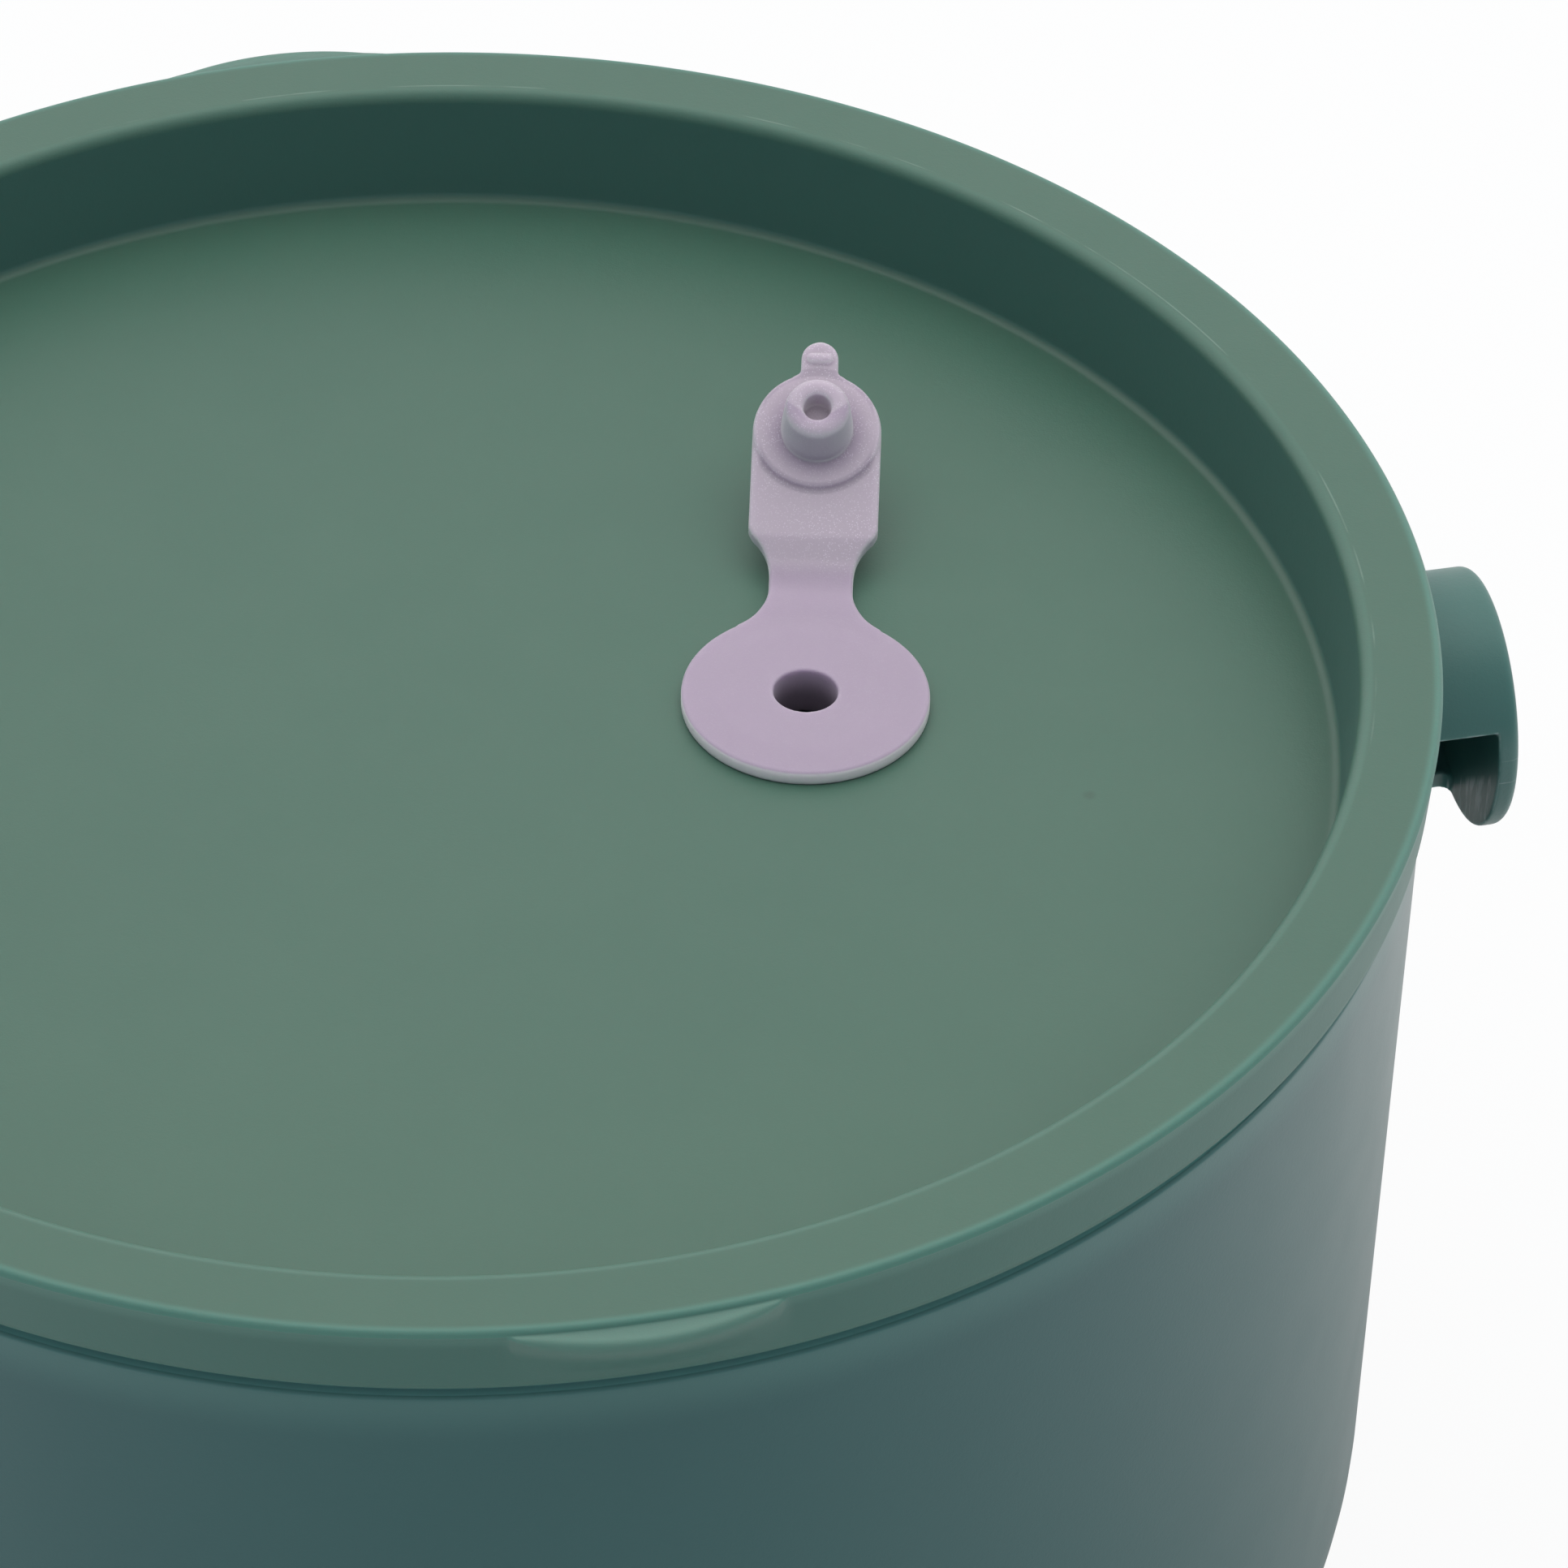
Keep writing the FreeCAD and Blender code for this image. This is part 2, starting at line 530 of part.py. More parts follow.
def make_stopper(doc):
    """Stopper: far half of the strap, pad, raised disc, nose and pull tab."""
    body = make_body(doc, "vent_stopper")
    bind(body, "Placement.Base.x", "vent_x + fold_distance * cos(strap_azimuth)")
    bind(body, "Placement.Base.y", "vent_y + fold_distance * sin(strap_azimuth)")
    bind(body, "Placement.Base.z", f"{LID_FLOOR} + {FOLD_HEIGHT}")
    bind(body, "Placement.Rotation.Yaw", "strap_azimuth")
    bind(body, "Placement.Rotation.Pitch", "0 - open_angle")
    floor = f"(0 - {FOLD_HEIGHT})"
    below = f"({floor} + strap_lift)"
    corner = "(pad_half_width - pad_corner / 2)"
    flare_start = "(4 * fold_gap)"
    run = f"(pad_start - {flare_start})"
    spread = f"({corner} - waist_half_width)"
    flare = f"(({run} * {run} + {spread} * {spread}) / (2 * {spread}))"
    far_end = "(fold_distance + pad_half_width)"
    web = make_sketch(body, "StopperOutline", "XY_Plane", z=below)
    draw_outline(web, [
        ("fold_gap", "0 - waist_half_width"),
        (flare_start, "0 - waist_half_width", "-" + flare),
        ("pad_start", f"0 - {corner}"),
        ("pad_start + pad_corner", "0 - pad_half_width"),
        ("fold_distance", "0 - pad_half_width", "pad_half_width"),
        (far_end, "0", "pad_half_width"),
        ("fold_distance", "pad_half_width"),
        ("pad_start + pad_corner", "pad_half_width"),
        ("pad_start", corner, "-" + flare),
        (flare_start, "waist_half_width"),
        ("fold_gap", "waist_half_width"),
    ])
    pad(body, "StopperPad", web, "pad_thickness - strap_lift")
    doc.recompute()

    # The strap thins from the pad down to the fold line.
    slope = make_sketch(body, "StrapSlope", "XZ_Plane")
    draw_outline(slope, [
        ("0", f"{floor} + web_thickness"),
        ("fold_gap", f"{floor} + web_thickness"),
        ("pad_start", f"{floor} + pad_thickness"),
        ("pad_start", f"{floor} + 2 * pad_thickness"),
        ("0", f"{floor} + 2 * pad_thickness"),
    ])
    thinning = pocket(body, "StrapThinning", slope, "4 * pad_half_width")
    thinning.Midplane = True

    disc = make_sketch(body, "DiscCircle", "XY_Plane", z=f"{floor} + pad_thickness / 2")
    draw_circle(disc, ("fold_distance", "0"), "disc_radius")
    pad(body, "Disc", disc, "pad_thickness / 2 + disc_rise")

    # The pull tab lies level with the disc and ends in a half round.
    round_start = "(fold_distance + pull_reach - pull_half_width)"
    pull = make_sketch(body, "PullOutline", "XY_Plane", z=below)
    draw_outline(pull, [
        ("fold_distance", "0 - pull_half_width"),
        (round_start, "0 - pull_half_width", "pull_half_width"),
        ("fold_distance + pull_reach", "0", "pull_half_width"),
        (round_start, "pull_half_width"),
        ("fold_distance", "pull_half_width"),
    ])
    pad(body, "PullTab", pull, f"{PLUG_FACE} - strap_lift")
    bar = make_sketch(body, "BarOutline", "XY_Plane", z=f"{floor} + {PLUG_FACE} - bar_rise")
    bar_near = "(fold_distance + bar_place - bar_half_width)"
    bar_far = "(fold_distance + bar_place + bar_half_width)"
    draw_outline(bar, [
        (bar_near, "0 - bar_half_length"),
        (bar_far, "0 - bar_half_length"),
        (bar_far, "bar_half_length"),
        (bar_near, "bar_half_length"),
    ])
    pad(body, "GripBar", bar, "2 * bar_rise")

    # The nose is a blunt hollow cone that enters the bore of the grommet.
    face = f"({floor} + {PLUG_FACE})"
    tip = f"({face} + nose_height)"
    root_radius = "(vent_hole_radius - nose_gap)"
    shoulder_radius = f"({root_radius} - nose_taper)"
    nose = make_sketch(body, "NoseProfile", "XZ_Plane", x="fold_distance")
    draw_outline(nose, [
        ("0", f"{face} - disc_rise"),
        (root_radius, f"{face} - disc_rise"),
        (root_radius, face),
        (shoulder_radius, f"{tip} - nose_crown", "nose_crown"),
        (f"{shoulder_radius} - nose_crown", tip),
        ("nose_bore_radius", tip),
        ("nose_bore_radius", f"{tip} - nose_bore_depth"),
        ("0", f"{tip} - nose_bore_depth"),
    ])
    revolve(body, "Nose", nose)
    return body


def main():
    doc = FreeCAD.newDocument("tub_with_vented_lid")
    make_sheet(doc)
    ear = make_ear(doc)
    parts = [make_tub(doc), ear, make_left_ear(doc, ear), make_lid(doc), make_seal(doc),
             make_grommet(doc), make_stopper(doc)]
    doc.recompute()
    for thing in doc.Objects:
        bad = [state for state in thing.State if state in ("Invalid", "Error")]
        if bad:
            raise RuntimeError(f"{thing.Label}: {bad}")
    os.makedirs("parts", exist_ok=True)
    for part in parts:
        shape = part.Shape
        if shape.isNull() or not shape.isValid():
            raise RuntimeError(part.Label + " has no sound shape")
        box = shape.BoundBox
        print(f"{part.Label:14s} solids {len(shape.Solids)} volume {shape.Volume:10.1f}"
              f"  x {box.XMin:8.2f} {box.XMax:8.2f}  y {box.YMin:8.2f} {box.YMax:8.2f}"
              f"  z {box.ZMin:8.2f} {box.ZMax:8.2f}")
        shape.exportStep(f"parts/{part.Label}.step")


main()
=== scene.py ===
"""Looks of a round lidded tub with a soft vent stopper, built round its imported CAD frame."""

from __future__ import annotations

import logging
import math
from collections.abc import Callable, Sequence
from dataclasses import dataclass
from enum import Enum
from functools import partial
from typing import Union

import bmesh
import bpy
from mathutils import Matrix, Vector

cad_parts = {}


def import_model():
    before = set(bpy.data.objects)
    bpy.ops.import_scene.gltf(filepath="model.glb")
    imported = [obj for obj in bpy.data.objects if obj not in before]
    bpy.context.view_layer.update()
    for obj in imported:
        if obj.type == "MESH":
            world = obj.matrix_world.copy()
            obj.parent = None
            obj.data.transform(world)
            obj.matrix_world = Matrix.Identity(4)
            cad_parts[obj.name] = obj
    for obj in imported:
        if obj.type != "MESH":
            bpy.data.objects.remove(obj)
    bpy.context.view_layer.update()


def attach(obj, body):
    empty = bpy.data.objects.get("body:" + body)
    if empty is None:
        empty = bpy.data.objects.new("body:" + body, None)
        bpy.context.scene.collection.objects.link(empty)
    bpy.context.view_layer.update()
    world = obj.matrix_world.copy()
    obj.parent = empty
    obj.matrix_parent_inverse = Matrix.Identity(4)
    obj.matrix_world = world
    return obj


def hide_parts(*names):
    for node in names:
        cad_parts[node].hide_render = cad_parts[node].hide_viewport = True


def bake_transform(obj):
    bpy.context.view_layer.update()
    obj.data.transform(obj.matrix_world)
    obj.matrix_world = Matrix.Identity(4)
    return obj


MM = 0.001
FULL_TURN = 2 * math.pi
QUARTER_TURN = math.pi / 2
LOG = logging.getLogger("tub")

HOLD = 0.3  # How far from an arc a point holds the flat beside it, in mm.
HOLD_ROOM = 3  # A flat is held where it is longer than this many holds.
AXIS_RADIUS = 0.05  # The radius at which a turned section is capped, in mm.
ANGLE_DIGITS = 9  # The decimals that angles are rounded to.
PLACE_DIGITS = 4  # The decimals that the places of ribs are rounded to, in mm.
SOFTENING = 0.5  # How far one pass of smoothing moves a point.

Colour = tuple[float, float, float]
Point2 = tuple[float, float]
Point3 = tuple[float, float, float]
Row = Callable[[float], Point2]
Shape = bmesh.types.BMesh
Socket = bpy.types.NodeSocket
Value = Union[float, Socket]
Paint = Union[Colour, Socket]

WHITE: Colour = (1.0, 1.0, 1.0)
CAPPED = (True, True)


class Body(Enum):
    """The CAD bodies that pieces ride on."""

    TUB = "tub"
    LID = "lid"
    STOPPER = "stopper"


class Slot(Enum):
    """The material slots, by name."""

    TUB = "tub_plastic"
    LID = "lid_plastic"
    SEAL = "seal_silicone"
    STOPPER = "stopper_silicone"


class Side(Enum):
    """Which way an ear stands out along X."""

    RIGHT = 1
    LEFT = -1


class Crease(Enum):
    """The angle in degrees above which an edge stays sharp."""

    PLAIN = 40.0
    RINGS = 60.0
    SOFT = 75.0


# --------------------------------------------------------------------------
# Mesh helpers
# --------------------------------------------------------------------------


@dataclass(frozen=True)
class Corner:
    """A corner of a section: distance from the axis, height and rounding in mm, arc's steps."""

    r: float
    z: float
    rounding: float = 0.0
    steps: int = 5


def arc(before: Corner, corner: Corner, after: Corner) -> list[Vector]:
    """Round a corner between its neighbours.

    Args:
        before: The corner before it.
        corner: The corner to round.
        after: The corner after it.

    Returns:
        The points of the arc, in mm.
    """
    here = Vector((corner.r, corner.z))
    back = (Vector((before.r, before.z)) - here).normalized()
    ahead = (Vector((after.r, after.z)) - here).normalized()
    half = back.angle(ahead) / 2
    reach = corner.rounding / math.tan(half)
    middle = here + (back + ahead).normalized() * (corner.rounding / math.sin(half))
    first, last = here + back * reach - middle, here + ahead * reach - middle
    turn = first.angle_signed(last)
    points = []
    for step in range(corner.steps + 1):
        angle = -turn * step / corner.steps
        cos, sin = math.cos(angle), math.sin(angle)
        turned_by = Vector((first.x * cos - first.y * sin, first.x * sin + first.y * cos))
        points.append(middle + turned_by)
    return points


def rounded(corners: Sequence[Corner], closed: bool = False, hold: float = HOLD) -> list[Point2]:
    """Turn corners into a line with arcs, and with points that hold the flats beside them.

    Args:
        corners: The corners in order.
        closed: Whether the last corner joins the first.
        hold: How far from an arc the holding point stands, in mm.

    Returns:
        The points of the line, in mm.
    """
    count = len(corners)
    runs: list[list[Vector]] = []
    for index, corner in enumerate(corners):
        at_end = not closed and index in (0, count - 1)
        if corner.rounding <= 0 or at_end:
            runs.append([Vector((corner.r, corner.z))])
        else:
            runs.append(arc(corners[index - 1], corner, corners[(index + 1) % count]))
    line: list[Point2] = []
    for index, run in enumerate(runs):
        line.extend((point.x, point.y) for point in run)
        if index == count - 1 and not closed:
            break
        start, end = run[-1], runs[(index + 1) % count][0]
        gap = (end - start).length
        if gap > HOLD_ROOM * hold:
            along = (end - start) / gap * hold
            line.extend((place.x, place.y) for place in (start + along, end - along))
    return line


def finish_mesh(name: str, shape: Shape, crease: Crease = Crease.PLAIN) -> bpy.types.Object:
    """Turn a bmesh into a smooth-shaded object at the origin.

    Args:
        name: The name of the piece.
        shape: The mesh, which is freed.
        crease: Which edges stay sharp.

    Returns:
        The object, linked to the scene.
    """
    bmesh.ops.recalc_face_normals(shape, faces=shape.faces)
    mesh = bpy.data.meshes.new(name)
    shape.to_mesh(mesh)
    shape.free()
    mesh.shade_smooth()
    mesh.set_sharp_from_angle(angle=math.radians(crease.value))
    piece = bpy.data.objects.new(name, mesh)
    bpy.context.scene.collection.objects.link(piece)
    return piece


def skin(shape: Shape, rings: Sequence[Sequence[Vector]], loop: bool = False,
         caps: tuple[bool, bool] = (False, False)) -> None:
    """Lay quads over rings of points.

    Args:
        shape: The mesh that takes the faces.
        rings: Rings with the same number of points.
        loop: Whether the last ring joins the first.
        caps: Whether the first and the last ring are closed by a face.
    """
    rows = [[shape.verts.new(point) for point in points] for points in rings]
    count = len(rows[0])
    pairs = list(zip(rows, rows[1:]))
    if loop:
        pairs.append((rows[-1], rows[0]))
    for lower, upper in pairs:
        for index in range(count):
            following = (index + 1) % count
            shape.faces.new((lower[index], lower[following], upper[following], upper[index]))
    for wanted, row in zip(caps, (rows[0], rows[-1])):
        if wanted:
            shape.faces.new(row)


def around(point: Point2, angle: float, centre: Point2 = (0.0, 0.0)) -> Vector:
    """Turn a point of a section round a vertical axis.

    Args:
        point: The distance from the axis and the height, in mm.
        angle: The angle of the turn, in radians.
        centre: The axis' place, in mm.

    Returns:
        The point, in metres.
    """
    radius, height = point
    x, y = centre[0] + radius * math.cos(angle), centre[1] + radius * math.sin(angle)
    return Vector((x * MM, y * MM, height * MM))


def even_angles(count: int) -> list[float]:
    """Return evenly spaced angles round a full turn."""
    return [FULL_TURN * index / count for index in range(count)]


def smooth_step(share: float) -> float:
    """Return the smooth 0 to 1 step of a share, clamped."""
    share = min(1.0, max(0.0, share))
    return share * share * (3 - 2 * share)


def turned(shape: Shape, line: Sequence[Point2], count: int, centre: Point2 = (0.0, 0.0),
           loop: bool = False) -> None:
    """Turn a section round a vertical axis; open sections are capped at both ends.

    Args:
        shape: The mesh that takes the faces.
        line: The section's points, in mm.
        count: The number of points round the turn.
        centre: The axis' place, in mm.
        loop: Whether the section is closed, as of a ring.
    """
    angles = even_angles(count)
    rings = [[around((max(r, AXIS_RADIUS), z), angle, centre) for angle in angles]
             for r, z in line]
    skin(shape, rings, loop=loop, caps=(not loop, not loop))


def fixed(point: Point2) -> Row:
    """Return a row that has the same point of a section at every angle."""
    return lambda angle: point


def fuse(name: str, shape: Shape, voxel: float, smoothing: int) -> Shape:
    """Melt overlapping closed forms into one skin with small soft fillets.

    Args:
        name: A name for the working object.
        shape: The forms, which are freed.
        voxel: The size of a voxel, in the mesh's units.
        smoothing: How many passes of smoothing follow.

    Returns:
        The fused mesh.
    """
    bmesh.ops.triangulate(shape, faces=shape.faces)
    bmesh.ops.recalc_face_normals(shape, faces=shape.faces)
    mesh = bpy.data.meshes.new(name)
    shape.to_mesh(mesh)
    shape.free()
    worker = bpy.data.objects.new(name, mesh)
    bpy.context.scene.collection.objects.link(worker)
    melt = worker.modifiers.new("melt", "REMESH")
    melt.mode = "VOXEL"
    melt.voxel_size = voxel
    soften = worker.modifiers.new("soften", "SMOOTH")
    soften.factor = SOFTENING
    soften.iterations = smoothing
    graph = bpy.context.evaluated_depsgraph_get()
    melted = bpy.data.meshes.new_from_object(worker.evaluated_get(graph))
    fused = bmesh.new()
    fused.from_mesh(melted)
    bpy.data.objects.remove(worker)
    for used in (mesh, melted):
        bpy.data.meshes.remove(used)
    return fused


# --------------------------------------------------------------------------
# Masks
# --------------------------------------------------------------------------


@dataclass(frozen=True)
class Band:
    """A mask that is full up to a way off its middle and fades beyond it, in mm."""

    middle: float
    flat: float
    soft: float


@dataclass(frozen=True)
class Reach:
    """The stretch over which a mask changes, in mm."""

    low: float
    high: float


@dataclass(frozen=True)
class Patches:
    """Soft patches: a noise's scale per metre and detail, and what it is mapped from and to."""

    scale: float
    detail: float
    low: float
    high: float
    least: float = 0.0
    most: float = 1.0


@dataclass(frozen=True)
class Specks:
    """Round specks: cells per metre, a speck's radius in cells, and the share that is kept."""

    scale: float
    size: float
    kept: float


@dataclass(frozen=True)
class Zone:
    """A ring of a turned piece with a colour of its own, above or below a stretch of height."""

    colour: Colour
    radius: Union[Band, Reach]
    height: Reach
    upper: bool = True
    share: float = 1.0


class Graph:
    """A small hand for wiring shader nodes."""

    def __init__(self, tree: bpy.types.NodeTree) -> None:
        """Keep the tree and empty it."""
        self.tree = tree
        tree.nodes.clear()

    def add(self, kind: str, **settings: object) -> bpy.types.Node:
        """Add a node.

        Args:
            kind: The node's type name, without its common start.
            settings: Properties of the node to set.

        Returns:
            The node.
        """
        node = self.tree.nodes.new("ShaderNode" + kind)
        for key, value in settings.items():
            setattr(node, key, value)
        return node

    def link(self, source: Socket, target: Socket) -> None:
        """Join an output to an input."""
        self.tree.links.new(source, target)

    def noise(self, place: Socket, scale: float, detail: float) -> Socket:
        """Add a noise texture.

        Args:
            place: The texture place.
            scale: The scale per metre.
            detail: How many finer layers it has.

        Returns:
            The value's socket.
        """
        node = self.add("TexNoise")
        node.inputs["Scale"].default_value = scale
        node.inputs["Detail"].default_value = detail
        self.link(place, node.inputs["Vector"])
        return node.outputs["Fac"]

    def ranged(self, source: Socket, low: float, high: float, to_low: float,
               to_high: float) -> Socket:
        """Map a value smoothly from one range to another, clamped.

        Args:
            source: The value.
            low: The value that gives to_low.
            high: The value that gives to_high.
            to_low: The result at and beyond low.
            to_high: The result at and beyond high.

        Returns:
            The result's socket.
        """
        node = self.add("MapRange", interpolation_type="SMOOTHSTEP")
        for socket, number in zip(node.inputs[1:5], (low, high, to_low, to_high)):
            socket.default_value = number
        self.link(source, node.inputs[0])
        return node.outputs[0]

    def math(self, kind: str, first: Value, second: Value = 0.0, third: Value = 0.0) -> Socket:
        """Work out a value from up to three others.

        Args:
            kind: The sum's kind, as a math node names it.
            first: A number or a socket.
            second: A number or a socket.
            third: A number or a socket.

        Returns:
            The result's socket.
        """
        node = self.add("Math", operation=kind)
        for socket, value in zip(node.inputs, (first, second, third)):
            if isinstance(value, Socket):
                self.link(value, socket)
            else:
                socket.default_value = value
        return node.outputs[0]

    def length(self, first: Value, second: Value) -> Socket:
        """Return how long a vector in a plane is."""
        squares = self.math("MULTIPLY_ADD", first, first, self.math("MULTIPLY", second, second))
        return self.math("SQRT", squares)

    def parts(self, vector: Socket) -> Sequence[Socket]:
        """Split a vector.

        Args:
            vector: The vector.

        Returns:
            The sockets of its three parts.
        """
        split = self.add("SeparateXYZ")
        self.link(vector, split.inputs[0])
        return split.outputs

    def normal(self, part: int) -> Socket:
        """Return one part of the surface's normal, in the object's frame."""
        return self.parts(self.add("TexCoord").outputs["Normal"])[part]

    def across(self, value: Socket, reach: Reach, shares: Point2 = (0.0, 1.0)) -> Socket:
        """Return a share that changes from one to another over a stretch."""
        return self.ranged(value, reach.low * MM, reach.high * MM, *shares)

    def above(self, value: Socket, reach: Reach) -> Socket:
        """Return a mask that rises from 0 to 1 over a stretch."""
        return self.across(value, reach)

    def below(self, value: Socket, reach: Reach) -> Socket:
        """Return a mask that falls from 1 to 0 over a stretch."""
        return self.across(value, reach, (1.0, 0.0))

    def near(self, value: Socket, band: Band) -> Socket:
        """Return a mask round the middle of a band, of a value in metres."""
        gap = self.math("ABSOLUTE", self.math("SUBTRACT", value, band.middle * MM))
        return self.below(gap, Reach(band.flat, band.flat + band.soft))

    def product(self, *values: Value) -> Socket:
        """Multiply several values.

        Args:
            values: Numbers or sockets.

        Returns:
            The product's socket.
        """
        total = values[0]
        for value in values[1:]:
            total = self.math("MULTIPLY", total, value)
        return total

    def mixed(self, share: Socket, first: Paint, second: Paint) -> Socket:
        """Mix two colours by a share.

        Args:
            share: The share of the second colour.
            first: A colour or a colour socket.
            second: A colour or a colour socket.

        Returns:
            The mixed colour's socket.
        """
        node = self.add("Mix", data_type="RGBA")
        self.link(share, node.inputs["Factor"])
        for name, colour in (("A", first), ("B", second)):
            socket = next(s for s in node.inputs if s.name == name and s.type == "RGBA")
            if isinstance(colour, Socket):
                self.link(colour, socket)
            else:
                socket.default_value = (*colour, 1.0)
        return next(s for s in node.outputs if s.type == "RGBA")

    def patches(self, place: Socket, patches: Patches) -> Socket:
        """Return the mask of soft patches."""
        cloud = self.noise(place, patches.scale, patches.detail)
        return self.ranged(cloud, patches.low, patches.high, patches.least, patches.most)

    def specks(self, place: Socket, specks: Specks) -> Socket:
        """Scatter round specks.

        Args:
            place: The texture place.
            specks: Their scale, size and share.

        Returns:
            A value of 1 in a speck and 0 outside.
        """
        cells = self.add("TexVoronoi")
        cells.inputs["Scale"].default_value = specks.scale
        self.link(place, cells.inputs["Vector"])
        dot = self.ranged(cells.outputs["Distance"], specks.size / 2, specks.size, 1.0, 0.0)
        tone = self.add("SeparateColor")
        self.link(cells.outputs["Color"], tone.inputs[0])
        return self.product(dot, self.math("LESS_THAN", tone.outputs[0], specks.kept))

    def zone(self, radius: Socket, height: Socket, zone: Zone) -> Socket:
        """Return the mask of a zone.

        Args:
            radius: The distance from the piece's axis, in metres.
            height: The height, in metres.
            zone: The zone.

        Returns:
            The mask's socket.
        """
        ring = self.near if isinstance(zone.radius, Band) else self.above
        level = self.above if zone.upper else self.below
        return self.product(ring(radius, zone.radius), level(height, zone.height), zone.share)


# --------------------------------------------------------------------------
# Finishes
# --------------------------------------------------------------------------


@dataclass(frozen=True)
class Moulding:
    """A moulded plastic or silicone with grain, mottling, dust and fine wear.

    Colours are linear; scales are per metre, so 1000 gives features of about a millimetre.
    """

    name: str
    colour: Colour
    mottle: Colour
    speck: Colour
    specks: Specks
    roughness: float
    gloss_spread: float
    grain_scale: float
    grain_height: float
    glow: float
    glow_radius: Colour
    glow_depth: float
    specular: float = 0.5
    sheen: float = 0.0
    sheen_roughness: float = 0.4
    clouds: Patches = Patches(28.0, 4.0, 0.3, 0.7)
    flecks: Patches = Patches(900.0, 3.0, 0.35, 0.75, most=0.22)
    wear_scale: float = 120.0
    wear_detail: float = 5.0
    wear_span: Point2 = (0.3, 0.7)
    grain_detail: float = 2.0
    pit_share: float = 0.35
    pit_detail: float = 3.0

    def details(self, graph: Graph, place: Socket, colour: Socket) -> Socket:
        """Return the colour with the marks of one piece; a plain moulding has none."""
        return colour

    def coloured(self, graph: Graph, place: Socket) -> Socket:
        """Mix the colour with its mottling, its marks and its dust.

        Args:
            graph: The graph that takes the nodes.
            place: The texture place.

        Returns:
            The colour's socket.
        """
        colour = graph.mixed(graph.patches(place, self.clouds), self.colour, self.mottle)
        colour = graph.mixed(graph.patches(place, self.flecks), colour, self.mottle)
        colour = self.details(graph, place, colour)
        return graph.mixed(graph.specks(place, self.specks), colour, self.speck)

    def grained(self, graph: Graph, place: Socket) -> Socket:
        """Raise a fine grain with coarser pits.

        Args:
            graph: The graph that takes the nodes.
            place: The texture place.

        Returns:
            The normal's socket.
        """
        grain = graph.noise(place, self.grain_scale, self.grain_detail)
        pits = graph.noise(place, self.grain_scale * self.pit_share, self.pit_detail)
        bump = graph.add("Bump")
        bump.inputs["Strength"].default_value = 1.0
        bump.inputs["Distance"].default_value = self.grain_height
        graph.link(graph.math("ADD", grain, pits), bump.inputs["Height"])
        return bump.outputs["Normal"]

    def material(self) -> bpy.types.Material:
        """Build the node material.

        Returns:
            The material.
        """
        made = bpy.data.materials.new(self.name)
        made.use_nodes = True
        graph = Graph(made.node_tree)
        place = graph.add("TexCoord").outputs["Object"]
        shader = graph.add("BsdfPrincipled")
        settings = {
            "Specular IOR Level": self.specular,
            "Sheen Weight": self.sheen,
            "Sheen Roughness": self.sheen_roughness,
            "Subsurface Weight": self.glow,
            "Subsurface Radius": self.glow_radius,
            "Subsurface Scale": self.glow_depth,
        }
        for name, value in settings.items():
            shader.inputs[name].default_value = value
        wear = Patches(self.wear_scale, self.wear_detail, *self.wear_span,
                       self.roughness - self.gloss_spread, self.roughness + self.gloss_spread)
        graph.link(self.coloured(graph, place), shader.inputs["Base Color"])
        graph.link(graph.patches(place, wear), shader.inputs["Roughness"])
        graph.link(self.grained(graph, place), shader.inputs["Normal"])
        output = graph.add("OutputMaterial")
        graph.link(shader.outputs["BSDF"], output.inputs["Surface"])
        return made


